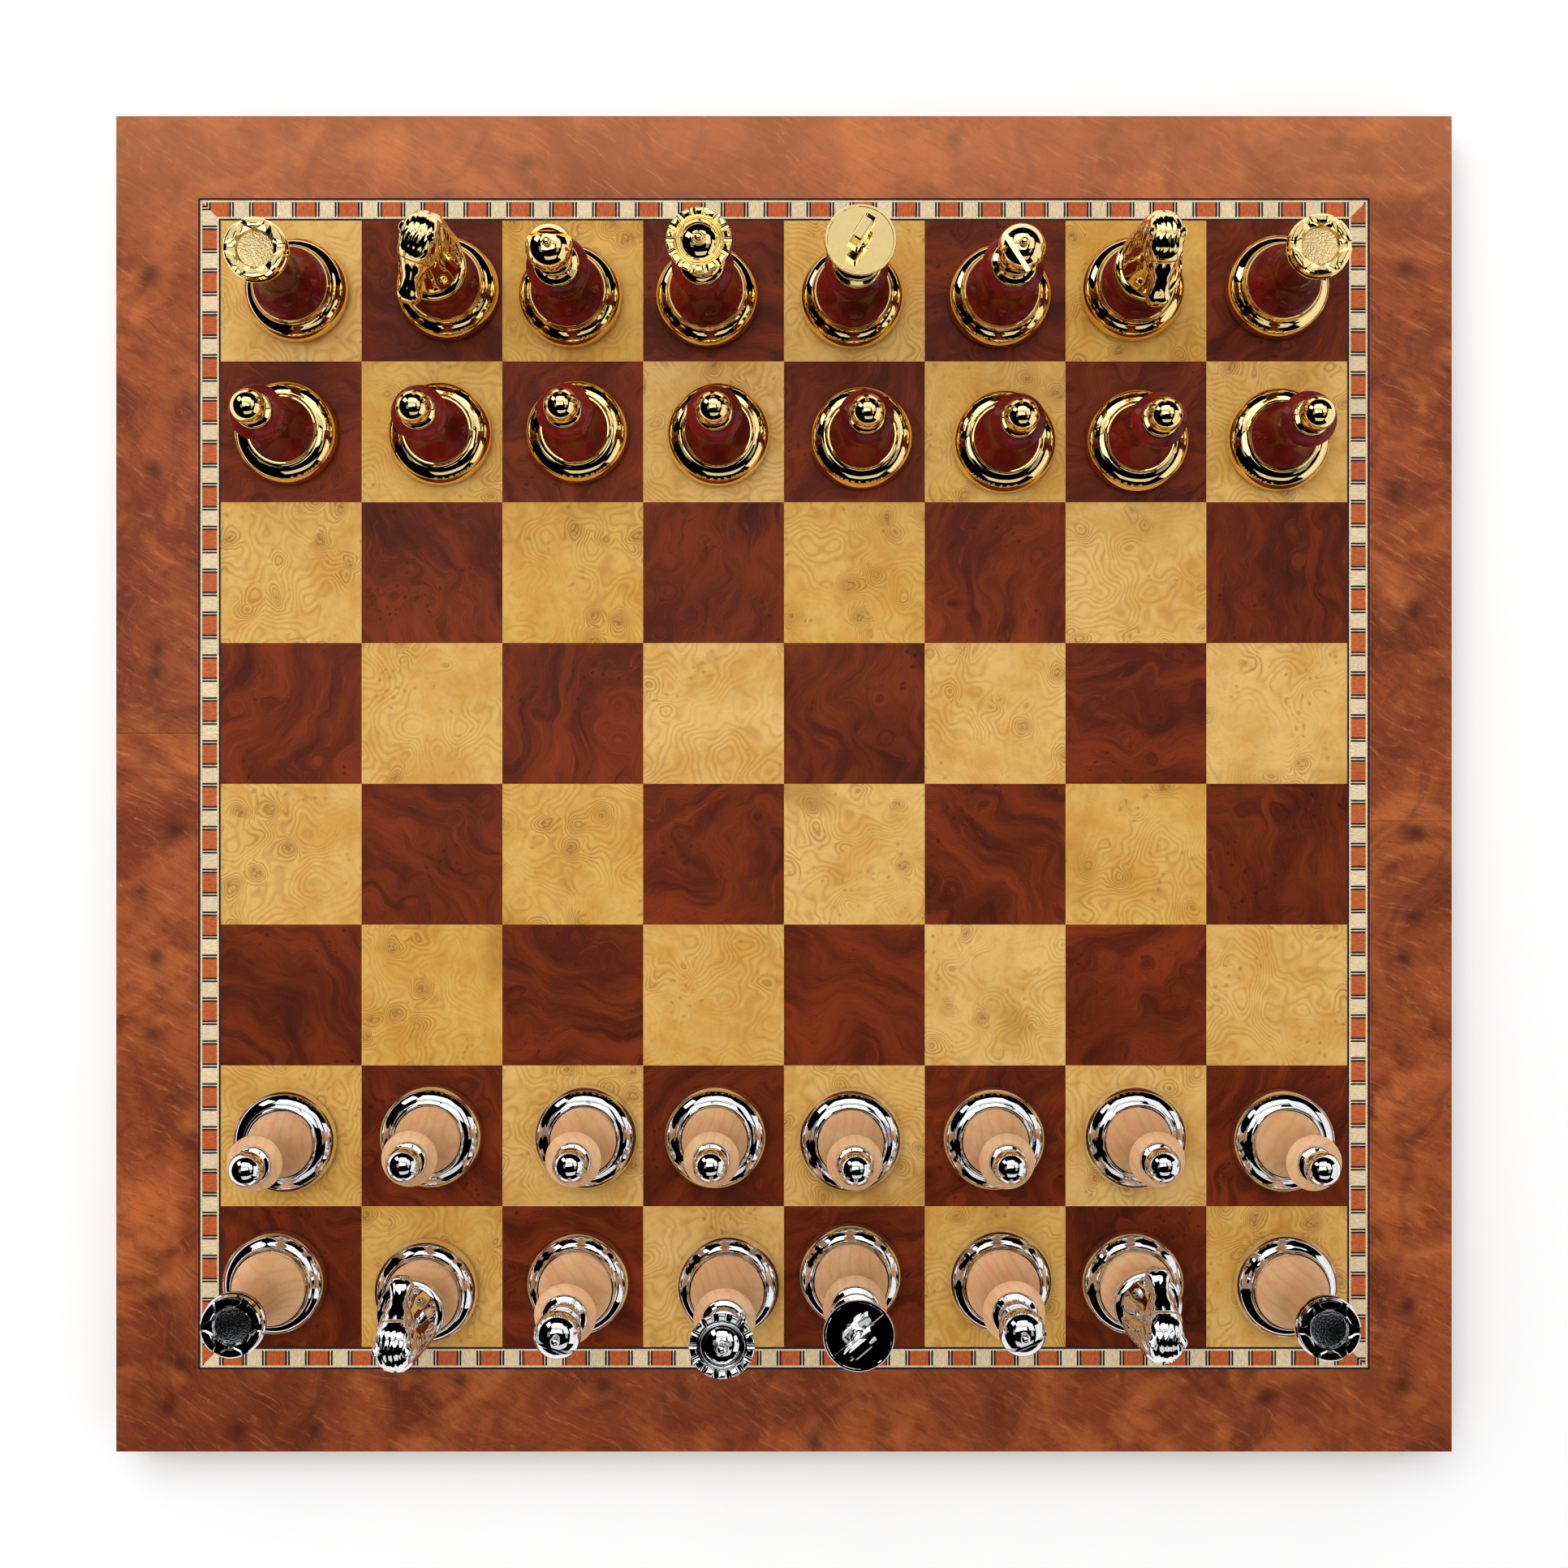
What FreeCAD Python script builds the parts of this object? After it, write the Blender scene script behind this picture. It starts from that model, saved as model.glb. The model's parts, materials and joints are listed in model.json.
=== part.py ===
# Chess set with board: a veneered board with an inlaid banding and thirty-two
# turned men, each a plated metal base, a wooden body and a plated metal head.
# Frame: origin at the centre of the board's underside, +Z up, +X to the right
# and +Y away from the player with the light wood men.
import FreeCAD, Part
import Sketcher
import math
import os
from FreeCAD import Vector as V, Rotation, Placement

os.makedirs("parts", exist_ok=True)
doc = FreeCAD.newDocument("ChessSet")
sheet = doc.addObject("Spreadsheet::Sheet", "Dims")
sheet.Label = "Dims"

VAL = {}


def dims(**kw):
    for key, val in kw.items():
        if key in VAL:
            raise SystemExit("dimension twice: " + key)
        VAL[key] = float(val)
        row = len(VAL)
        sheet.set("A%d" % row, key)
        sheet.set("B%d" % row, repr(float(val)))
        sheet.setAlias("B%d" % row, key)


# ---------------------------------------------------------------- dimensions
# board
dims(board_half=166.0, panel_half=165.0, board_thick=15.0, veneer=0.6,
     panel_thick=14.4, square=35.0, glue=0.02, glue_half=0.01,
     field_half=140.0, inner_dark_half=140.5, inner_pale_half=140.95,
     blocks_half=144.6, outer_pale_half=145.05, outer_dark_half=145.6,
     repeat=10.66, pale_block=3.74, red_block=4.6, dark_strip=0.45, pale_strip=0.26)
# shared by the men
dims(felt_rad=11.6, felt_thick=0.8, base_rad=12.75, tenon_rad=6.0,
     bore_rad=6.05, shank_rad=1.5, hole_rad=1.6, shank_foot=2.4)

doc.recompute()

AX = {"X": "YZ_Plane", "Y": "XZ_Plane", "Z": "XY_Plane"}


def bind(obj, prop, expr):
    """Expression on the sheet's cells: every alias in the text gets its sheet."""
    out = ""
    word = ""
    for ch in expr + " ":
        if ch.isalnum() or ch == "_":
            word += ch
        else:
            out += ("Dims." + word) if word in VAL else word
            out += ch
            word = ""
    obj.setExpression(prop, out.strip())


def new_body(name):
    return doc.addObject("PartDesign::Body", name)


def plane_sketch(body, name, plane, lift=None, along=(0, 0, 0)):
    sk = body.newObject("Sketcher::SketchObject", name)
    ref = [o for o in body.Origin.OriginFeatures if o.Role == plane][0]
    sk.AttachmentSupport = [(ref, "")]
    sk.MapMode = "FlatFace"
    if lift is not None:
        bind(sk, "AttachmentOffset.Base.z", lift)
    return sk


def put_points(sk, geo_of, pts, names):
    """Dimension each vertex from the sketch origin, or pin it to an axis."""
    for i, (x, y) in enumerate(pts):
        geo, end = geo_of[i]
        nx, ny = names[i]
        if nx is None:
            sk.addConstraint(Sketcher.Constraint("PointOnObject", geo, end, -2))
        else:
            k = sk.addConstraint(Sketcher.Constraint("DistanceX", -1, 1, geo, end, x))
            sk.renameConstraint(k, "cx%d" % i)
            bind(sk, "Constraints.cx%d" % i, nx)
        if ny is None:
            sk.addConstraint(Sketcher.Constraint("PointOnObject", geo, end, -1))
        else:
            k = sk.addConstraint(Sketcher.Constraint("DistanceY", -1, 1, geo, end, y))
            sk.renameConstraint(k, "cy%d" % i)
            bind(sk, "Constraints.cy%d" % i, ny)


def profile(sk, name, rows):
    """Closed outline. rows: (label, across, up, bend). bend is the radius of
    the arc from this vertex to the next, 0 for a straight edge, "ball" for an
    arc that ends on the axis and is centred on it; the sign says on which side
    of the edge the arc bulges (+ away from the axis when going up)."""
    n = len(rows)
    pts = []
    names = []
    for label, a, u, bend in rows:
        key_a = None
        key_u = None
        if abs(a) > 1e-9:
            key_a = "%s_%s_rad" % (name, label)
            dims(**{key_a: a})
        if abs(u) > 1e-9:
            key_u = "%s_%s_up" % (name, label)
            dims(**{key_u: u})
        pts.append((a, u))
        names.append((key_a, key_u))
    starts = []
    ends = []
    for i in range(n):
        p = pts[i]
        q = pts[(i + 1) % n]
        bend = rows[i][3]
        if bend == 0:
            g = sk.addGeometry(Part.LineSegment(V(p[0], p[1], 0), V(q[0], q[1], 0)))
            starts.append((g, 1))
            ends.append((g, 2))
        elif bend == "ball":
            # arc up to the axis, centred on the axis
            cy = (q[1] ** 2 - p[1] ** 2 - p[0] ** 2) / (2 * (q[1] - p[1]))
            circ = Part.Circle(V(0, cy, 0), V(0, 0, 1), q[1] - cy)
            g = sk.addGeometry(Part.ArcOfCircle(circ, math.atan2(p[1] - cy, p[0]), math.pi / 2))
            starts.append((g, 1))
            ends.append((g, 2))
            sk.addConstraint(Sketcher.Constraint("PointOnObject", g, 3, -2))
        else:
            r = abs(bend)
            dx, dy = q[0] - p[0], q[1] - p[1]
            d = math.hypot(dx, dy)
            if r < d / 2:
                raise SystemExit("arc too small: %s %s" % (name, rows[i][0]))
            h = math.sqrt(max(r * r - d * d / 4, 0))
            # right-hand normal of the travel direction
            ux, uy = dy / d, -dx / d
            s = -1 if bend > 0 else 1
            cx = (p[0] + q[0]) / 2 + s * ux * h
            cy = (p[1] + q[1]) / 2 + s * uy * h
            a0 = math.atan2(p[1] - cy, p[0] - cx)
            a1 = math.atan2(q[1] - cy, q[0] - cx)
            circ = Part.Circle(V(cx, cy, 0), V(0, 0, 1), r)
            if bend > 0:
                while a1 < a0:
                    a1 += 2 * math.pi
                g = sk.addGeometry(Part.ArcOfCircle(circ, a0, a1))
                starts.append((g, 1))
                ends.append((g, 2))
            else:
                while a0 < a1:
                    a0 += 2 * math.pi
                g = sk.addGeometry(Part.ArcOfCircle(circ, a1, a0))
                starts.append((g, 2))
                ends.append((g, 1))
            key = "%s_%s_bend" % (name, rows[i][0])
            dims(**{key: r})
            k = sk.addConstraint(Sketcher.Constraint("Radius", g, r))
            sk.renameConstraint(k, "rad%d" % i)
            bind(sk, "Constraints.rad%d" % i, key)
    for i in range(n):
        a = ends[i - 1]
        b = starts[i]
        sk.addConstraint(Sketcher.Constraint("Coincident", a[0], a[1], b[0], b[1]))
    put_points(sk, starts, pts, names)


def turned(name, rows):
    """Solid of revolution about Z from a closed half outline in the XZ plane."""
    body = new_body(name)
    sk = plane_sketch(body, name + "_outline", "XZ_Plane")
    profile(sk, name, rows)
    rev = body.newObject("PartDesign::Revolution", name + "_turning")
    rev.Profile = sk
    rev.ReferenceAxis = (sk, ["V_Axis"])
    rev.Angle = 360
    body.Tip = rev
    return body


# ---------------------------------------------------------------- the board
NODES = []


def node(label, links, bx=None, by=None, bz=None, turn=None):
    """One piece of the set: the linked solids, placed as one."""
    c = doc.addObject("Part::Compound", label)
    c.Label = label
    c.Links = links
    if turn is not None:
        c.Placement = Placement(V(0, 0, 0), Rotation(V(0, 0, 1), VAL[turn]))
        bind(c, "Placement.Rotation.Angle", turn)
    if bx is not None:
        bind(c, "Placement.Base.x", bx)
        bind(c, "Placement.Base.y", by)
    if bz is not None:
        bind(c, "Placement.Base.z", bz)
    NODES.append(c)
    return c


def outline(sk, pts, names):
    """Closed straight-sided outline with every corner dimensioned."""
    n = len(pts)
    geo = []
    for i in range(n):
        p, q = pts[i], pts[(i + 1) % n]
        geo.append((sk.addGeometry(Part.LineSegment(V(p[0], p[1], 0), V(q[0], q[1], 0))), 1))
    for i in range(n):
        sk.addConstraint(Sketcher.Constraint("Coincident", geo[i - 1][0], 2, geo[i][0], 1))
    put_points(sk, geo, pts, names)


def mitred_side(name, k, inner, outer, low, tall):
    """One mitred strip, on the +Y side and then turned to side k."""
    body = new_body("%s_%d" % (name, k))
    sk = plane_sketch(body, "%s_%d_plan" % (name, k), "XY_Plane", lift=low)
    a, b, g = VAL[inner], VAL[outer], VAL["glue_half"]
    outline(sk, [(g - b, b), (g - a, a), (a - g, a), (b - g, b)],
            [("glue_half - %s" % outer, outer), ("glue_half - %s" % inner, inner),
             ("%s - glue_half" % inner, inner), ("%s - glue_half" % outer, outer)])
    pad = body.newObject("PartDesign::Pad", "%s_%d_pad" % (name, k))
    pad.Profile = sk
    bind(pad, "Length", tall)
    body.Tip = pad
    body.Placement = Placement(V(0, 0, 0), Rotation(V(0, 0, 1), 90.0 * k))
    return body


def mitred_ring(name, inner, outer, low, tall):
    return [mitred_side(name, k, inner, outer, low, tall) for k in range(4)]


panel = doc.addObject("Part::Box", "panel")
for prop, expr in (("Length", "2 * panel_half"), ("Width", "2 * panel_half"),
                   ("Height", "panel_thick"), ("Placement.Base.x", "-panel_half"),
                   ("Placement.Base.y", "-panel_half")):
    bind(panel, prop, expr)
node("board_core", [panel])
node("edge_lipping", mitred_ring("lipping", "panel_half", "board_half", None, "panel_thick"))
node("border_veneer", mitred_ring("border", "outer_dark_half", "board_half", "panel_thick", "veneer"))


def chequer(name, first):
    """Thirty-two squares of one colour: two on a diagonal, patterned four by four."""
    body = new_body(name)
    sk = plane_sketch(body, name + "_plan", "XY_Plane", lift="panel_thick")
    s, g, f = VAL["square"], VAL["glue_half"], VAL["field_half"]
    for i, (cx, cy) in enumerate(first):
        x0, x1 = -f + cx * s + g, -f + (cx + 1) * s - g
        y0, y1 = -f + cy * s + g, -f + (cy + 1) * s - g
        ex0 = "%d * square + glue_half - field_half" % cx
        ex1 = "%d * square - glue_half - field_half" % (cx + 1)
        ey0 = "%d * square + glue_half - field_half" % cy
        ey1 = "%d * square - glue_half - field_half" % (cy + 1)
        pts = [(x0, y0), (x1, y0), (x1, y1), (x0, y1)]
        geo = []
        for j in range(4):
            p, q = pts[j], pts[(j + 1) % 4]
            geo.append((sk.addGeometry(Part.LineSegment(V(p[0], p[1], 0), V(q[0], q[1], 0))), 1))
        for j in range(4):
            sk.addConstraint(Sketcher.Constraint("Coincident", geo[j - 1][0], 2, geo[j][0], 1))
        for j, (ex, ey) in enumerate([(ex0, ey0), (ex1, ey0), (ex1, ey1), (ex0, ey1)]):
            k = sk.addConstraint(Sketcher.Constraint("DistanceX", -1, 1, geo[j][0], 1, pts[j][0]))
            sk.renameConstraint(k, "cx%d_%d" % (i, j))
            bind(sk, "Constraints.cx%d_%d" % (i, j), ex)
            k = sk.addConstraint(Sketcher.Constraint("DistanceY", -1, 1, geo[j][0], 1, pts[j][1]))
            sk.renameConstraint(k, "cy%d_%d" % (i, j))
            bind(sk, "Constraints.cy%d_%d" % (i, j), ey)
    pad = body.newObject("PartDesign::Pad", name + "_pad")
    pad.Profile = sk
    bind(pad, "Length", "veneer")
    doc.recompute()
    multi = body.newObject("PartDesign::MultiTransform", name + "_multi")
    across = body.newObject("PartDesign::LinearPattern", name + "_across")
    across.Direction = (sk, ["H_Axis"])
    bind(across, "Length", "6 * square")
    across.Occurrences = 4
    upward = body.newObject("PartDesign::LinearPattern", name + "_upward")
    upward.Direction = (sk, ["V_Axis"])
    bind(upward, "Length", "6 * square")
    upward.Occurrences = 4
    multi.Originals = [pad]
    multi.Transformations = [across, upward]
    body.Tip = multi
    return body


# a1, the corner square at -X -Y, is dark
node("dark_squares", [chequer("dark_field", [(0, 0), (1, 1)])])
node("light_squares", [chequer("light_field", [(1, 0), (0, 1)])])


def band_row(name, k, start, width, copies):
    """A row of equal blocks along the banding on the +Y side, turned to side k
    and trimmed to the mitres. start and width are sheet expressions with their
    values; copies are spaced one repeat apart."""
    body = new_body("%s_%d" % (name, k))
    sk = plane_sketch(body, "%s_%d_plan" % (name, k), "XY_Plane", lift="panel_thick")
    g = VAL["glue_half"]
    x0, x1 = start[1] + g, start[1] + width[1] - g
    y0, y1 = VAL["inner_pale_half"] + g, VAL["blocks_half"] - g
    ex0 = "%s + glue_half" % start[0]
    ex1 = "%s + %s - glue_half" % (start[0], width[0])
    outline(sk, [(x0, y0), (x1, y0), (x1, y1), (x0, y1)],
            [(ex0, "inner_pale_half + glue_half"), (ex1, "inner_pale_half + glue_half"),
             (ex1, "blocks_half - glue_half"), (ex0, "blocks_half - glue_half")])
    pad = body.newObject("PartDesign::Pad", "%s_%d_pad" % (name, k))
    pad.Profile = sk
    pad.Refine = False
    bind(pad, "Length", "veneer")
    doc.recompute()
    pat = body.newObject("PartDesign::LinearPattern", "%s_%d_row" % (name, k))
    pat.Originals = [pad]
    pat.Refine = False
    pat.Direction = (sk, ["H_Axis"])
    bind(pat, "Length", "%d * repeat" % (copies - 1))
    pat.Occurrences = copies
    body.Tip = pat
    trim = mitred_side(name + "_trim", k, "inner_pale_half", "blocks_half",
                       "panel_thick", "veneer")
    body.Placement = Placement(V(0, 0, 0), Rotation(V(0, 0, 1), 90.0 * k))
    cut = doc.addObject("Part::Common", "%s_%d_trimmed" % (name, k))
    cut.Base = body
    cut.Tool = trim
    return cut


# one repeat, from its start: pale block, dark-pale-dark, red block, dark-pale-dark
COPIES = 28
dims(row_start_0=-147.4, row_start_1=-149.0, row_start_2=-147.4, row_start_3=-149.0)
pale, red, dark = [], [], []
for k in range(4):
    s = "row_start_%d" % k
    v = VAL[s]
    pb, rb, ds, ps = VAL["pale_block"], VAL["red_block"], VAL["dark_strip"], VAL["pale_strip"]
    pale.append(band_row("pale_row", k, (s, v), ("pale_block", pb), COPIES))
    o, e = v + pb, s + " + pale_block"
    dark.append(band_row("dark_a", k, (e, o), ("dark_strip", ds), COPIES))
    o, e = o + ds, e + " + dark_strip"
    pale.append(band_row("pale_a", k, (e, o), ("pale_strip", ps), COPIES))
    o, e = o + ps, e + " + pale_strip"
    dark.append(band_row("dark_b", k, (e, o), ("dark_strip", ds), COPIES))
    o, e = o + ds, e + " + dark_strip"
    red.append(band_row("red_row", k, (e, o), ("red_block", rb), COPIES))
    o, e = o + rb, e + " + red_block"
    dark.append(band_row("dark_c", k, (e, o), ("dark_strip", ds), COPIES))
    o, e = o + ds, e + " + dark_strip"
    pale.append(band_row("pale_b", k, (e, o), ("pale_strip", ps), COPIES))
    o, e = o + ps, e + " + pale_strip"
    dark.append(band_row("dark_d", k, (e, o), ("dark_strip", ds), COPIES))
dark += mitred_ring("dark_inner", "field_half", "inner_dark_half", "panel_thick", "veneer")
dark += mitred_ring("dark_outer", "outer_pale_half", "outer_dark_half", "panel_thick", "veneer")
pale += mitred_ring("pale_inner", "inner_dark_half", "inner_pale_half", "panel_thick", "veneer")
pale += mitred_ring("pale_outer", "blocks_half", "outer_pale_half", "panel_thick", "veneer")
node("banding_pale_strips", pale)
node("banding_red_blocks", red)
node("banding_dark_lines", dark)

# ---------------------------------------------------------------- masters of the men
# Every man stands on his own Z axis with z = 0 at the board's surface.
felt = turned("felt", [("axis_foot", 0, 0, 0), ("edge_foot", 11.6, 0, 0),
                       ("edge_top", 11.6, 0.8, 0), ("axis_top", 0, 0.8, 0)])

pawn_base = turned("pawn_base", [
    ("bore_foot", 6.05, 0.8, 0), ("rim_foot", 12.2, 0.8, 0.95),
    ("skirt_low", 12.75, 1.7, 0), ("skirt_top", 12.75, 2.3, 4.3),
    ("crown", 9.3, 6.514, -1.1), ("seat_edge", 8.35, 7.2, 0), ("bore_top", 6.05, 7.2, 0)])

officer_base = turned("officer_base", [
    ("bore_foot", 6.05, 0.8, 0), ("rim_foot", 12.2, 0.8, 0.95),
    ("skirt_low", 12.75, 1.7, 0), ("skirt_top", 12.75, 2.5, 4.4),
    ("crown", 10.1, 6.7, -2.2), ("seat_edge", 9.25, 8.6, 0), ("bore_top", 6.05, 8.6, 0)])

pawn_wood = turned("pawn_wood", [
    ("hole_foot", 1.6, 0.8, 0), ("tenon_foot", 6.0, 0.8, 0), ("shoulder_in", 6.0, 7.2, 0),
    ("shoulder", 8.1, 7.2, 0), ("foot_round", 8.0, 8.0, -20.0),
    ("waist", 3.9, 20.0, 0), ("neck", 3.6, 25.5, -5.5), ("flare", 6.2, 29.6, 0.9),
    ("collar", 6.5, 30.6, 7.0), ("collar_top", 4.4, 32.0, 0), ("hole_top", 1.6, 32.0, 0)])
pawn_head = turned("pawn_head", [
    ("shank_foot", 0, 2.4, 0), ("shank_low", 1.5, 2.4, 0), ("shank_top", 1.5, 32.0, 0),
    ("ring_low", 3.95, 32.0, 0.72), ("ring_top", 3.95, 33.3, 0),
    ("neck", 2.5, 33.7, 0), ("ball_low", 2.5, 34.15, "ball"), ("ball_top", 0, 41.5, 0)])

rook_wood = turned("rook_wood", [
    ("hole_foot", 1.6, 0.8, 0), ("tenon_foot", 6.0, 0.8, 0), ("shoulder_in", 6.0, 8.6, 0),
    ("shoulder", 9.0, 8.6, 0), ("foot_round", 8.9, 9.4, -16.0),
    ("waist", 4.8, 20.0, 0), ("neck", 4.3, 29.0, -14.0), ("top", 5.4, 34.5, 0),
    ("hole_top", 1.6, 34.5, 0)])

knight_wood = turned("knight_wood", [
    ("hole_foot", 1.6, 0.8, 0), ("tenon_foot", 6.0, 0.8, 0), ("shoulder_in", 6.0, 8.6, 0),
    ("shoulder", 9.0, 8.6, 0), ("foot_round", 8.9, 9.4, -9.5),
    ("waist", 6.6, 15.5, -8.5), ("flare", 7.7, 20.4, 1.0), ("collar", 7.7, 21.6, 0.6),
    ("top", 7.1, 22.2, 0), ("hole_top", 1.6, 22.2, 0)])

bishop_wood = turned("bishop_wood", [
    ("hole_foot", 1.6, 0.8, 0), ("tenon_foot", 6.0, 0.8, 0), ("shoulder_in", 6.0, 8.6, 0),
    ("shoulder", 9.0, 8.6, 0), ("foot_round", 8.9, 9.4, -15.7),
    ("waist", 4.7, 20.0, 0), ("neck", 4.2, 25.5, -6.0), ("flare", 7.0, 30.0, 0.9),
    ("collar", 7.25, 31.0, 7.5), ("collar_top", 5.2, 32.6, 0), ("hole_top", 1.6, 32.6, 0)])

queen_wood = turned("queen_wood", [
    ("hole_foot", 1.6, 0.8, 0), ("tenon_foot", 6.0, 0.8, 0), ("shoulder_in", 6.0, 8.6, 0),
    ("shoulder", 9.0, 8.6, 0), ("foot_round", 8.9, 9.4, -20.0),
    ("waist", 4.8, 21.5, 0), ("neck", 4.3, 26.5, -6.0), ("flare", 6.9, 31.0, 0.9),
    ("collar", 7.15, 32.2, 7.5), ("collar_top", 5.1, 33.8, 0), ("hole_top", 1.6, 33.8, 0)])

king_wood = turned("king_wood", [
    ("hole_foot", 1.6, 0.8, 0), ("tenon_foot", 6.0, 0.8, 0), ("shoulder_in", 6.0, 8.6, 0),
    ("shoulder", 9.0, 8.6, 0), ("foot_round", 8.9, 9.4, -20.4),
    ("waist", 4.9, 21.5, 0), ("neck", 4.4, 26.0, -6.2), ("flare", 7.1, 30.6, 0.9),
    ("collar", 7.35, 31.8, 7.5), ("collar_top", 5.6, 33.8, 0), ("hole_top", 1.6, 33.8, 0)])

# rook: flared cup, its wall cut by six notches that widen towards the inside
rook_head = turned("rook_head", [
    ("shank_foot", 0, 2.4, 0), ("shank_low", 1.5, 2.4, 0), ("shank_top", 1.5, 34.5, 0),
    ("ring_low", 5.5, 34.5, 0.5), ("ring_top", 5.5, 35.4, 0), ("stem", 5.2, 35.8, -4.0),
    ("flare", 7.3, 38.4, 0), ("brim", 7.3, 39.5, 0), ("step", 7.0, 39.8, 0),
    ("wall_out", 7.0, 42.05, 0), ("wall_bevel", 6.7, 42.4, 0), ("wall_in", 5.0, 42.4, 0),
    ("wall_inner_bevel", 4.75, 42.1, 0), ("cup_edge", 4.05, 40.6, 0),
    ("cup_mid", 0, 40.6, 0)])
dims(notch_in=4.2, notch_narrow=5.7, notch_out=7.6, notch_half=0.85, notch_mouth=1.95,
     notch_deep=1.05, wall_top=42.4)
sk = plane_sketch(rook_head, "notch_plan", "XY_Plane", lift="wall_top")
outline(sk, [(4.2, -1.95), (5.7, -0.85), (7.6, -0.85), (7.6, 0.85), (5.7, 0.85), (4.2, 1.95)],
        [("notch_in", "-notch_mouth"), ("notch_narrow", "-notch_half"),
         ("notch_out", "-notch_half"), ("notch_out", "notch_half"),
         ("notch_narrow", "notch_half"), ("notch_in", "notch_mouth")])
notch = rook_head.newObject("PartDesign::Pocket", "notch")
notch.Profile = sk
bind(notch, "Length", "notch_deep")
doc.recompute()
ring = rook_head.newObject("PartDesign::PolarPattern", "notches")
ring.Originals = [notch]
ring.Axis = (sk, ["N_Axis"])
ring.Angle = 360
ring.Occurrences = 6
rook_head.Tip = ring

# bishop: a ringed stem, a rounded mitre with a slanted cut, a ball on top
bishop_head = turned("bishop_head", [
    ("shank_foot", 0, 2.4, 0), ("shank_low", 1.5, 2.4, 0), ("shank_top", 1.5, 32.6, 0),
    ("ring_low", 5.0, 32.6, 0.8), ("ring_top", 5.0, 34.0, 0), ("step", 4.0, 34.5, -3.5),
    ("stem", 3.3, 37.8, 0), ("bead_low", 4.0, 38.2, 0.55), ("bead_top", 4.0, 39.2, 0),
    ("throat", 2.9, 39.7, -2.5), ("mitre_low", 3.3, 41.6, 9.5), ("mitre_wide", 5.35, 47.6, 4.9),
    ("mitre_top", 0.75, 51.3, 0), ("ball_low", 0.75, 51.6, "ball"), ("ball_top", 0, 53.6, 0)])
sk = plane_sketch(bishop_head, "mitre_cut_side", "XZ_Plane")
dims(cut_a_rad=0.9, cut_a_up=46.6, cut_b_rad=1.95, cut_b_up=46.3,
     cut_c_rad=3.35, cut_d_rad=2.25, cut_c_up=52.6, cut_wide=14.0)
outline(sk, [(0.9, 46.6), (1.95, 46.3), (3.35, 52.6), (2.25, 52.6)],
        [("cut_a_rad", "cut_a_up"), ("cut_b_rad", "cut_b_up"),
         ("cut_c_rad", "cut_c_up"), ("cut_d_rad", "cut_c_up")])
slot = bishop_head.newObject("PartDesign::Pocket", "mitre_cut")
slot.Profile = sk
slot.Midplane = True
bind(slot, "Length", "cut_wide")
bishop_head.Tip = slot

# queen: flared crown with fourteen scallops, a low dome and a finial
queen_head = turned("queen_head", [
    ("shank_foot", 0, 2.4, 0), ("shank_low", 1.5, 2.4, 0), ("shank_top", 1.5, 33.8, 0),
    ("ring_low", 4.9, 33.8, 0.75), ("ring_top", 4.9, 35.2, 0), ("step", 4.0, 35.7, -4.0),
    ("stem", 3.4, 39.4, 0), ("bead_low", 4.2, 39.8, 0.6), ("bead_top", 4.2, 40.9, 0),
    ("throat", 3.6, 41.3, -22.0), ("crown_low", 6.3, 51.2, -3.5), ("crown_lip", 7.1, 53.0, 0.5),
    ("crown_edge", 6.8, 53.9, 0), ("crown_in", 5.75, 53.6, 0), ("moat_out", 5.35, 52.9, 0),
    ("collar_out", 5.2, 53.3, 0.35), ("collar_in", 4.65, 53.3, 0), ("moat", 4.45, 52.9, 0),
    ("dome_edge", 4.2, 52.9, 5.3), ("dome_top", 1.6, 54.5, 0), ("foot_ring", 1.6, 54.8, 0.4),
    ("foot_in", 1.0, 55.0, "ball"), ("finial_top", 0, 57.0, 0)])
dims(scallop_in=5.5, scallop_up=54.25, scallop_rad=0.95, scallop_run=3.0)
sk = plane_sketch(queen_head, "scallop_end", "YZ_Plane", lift="scallop_in")
g = sk.addGeometry(Part.Circle(V(0, 54.25, 0), V(0, 0, 1), 0.95))
sk.addConstraint(Sketcher.Constraint("PointOnObject", g, 3, -2))
k = sk.addConstraint(Sketcher.Constraint("DistanceY", -1, 1, g, 3, 54.25))
sk.renameConstraint(k, "height")
bind(sk, "Constraints.height", "scallop_up")
k = sk.addConstraint(Sketcher.Constraint("Radius", g, 0.95))
sk.renameConstraint(k, "size")
bind(sk, "Constraints.size", "scallop_rad")
dip = queen_head.newObject("PartDesign::Pocket", "scallop")
dip.Profile = sk
dip.Reversed = True
bind(dip, "Length", "scallop_run")
doc.recompute()
ring = queen_head.newObject("PartDesign::PolarPattern", "scallops")
ring.Originals = [dip]
zaxis = [o for o in queen_head.Origin.OriginFeatures if o.Role == "Z_Axis"][0]
ring.Axis = (zaxis, [""])
ring.Angle = 360
ring.Occurrences = 14
queen_head.Tip = ring

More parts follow.
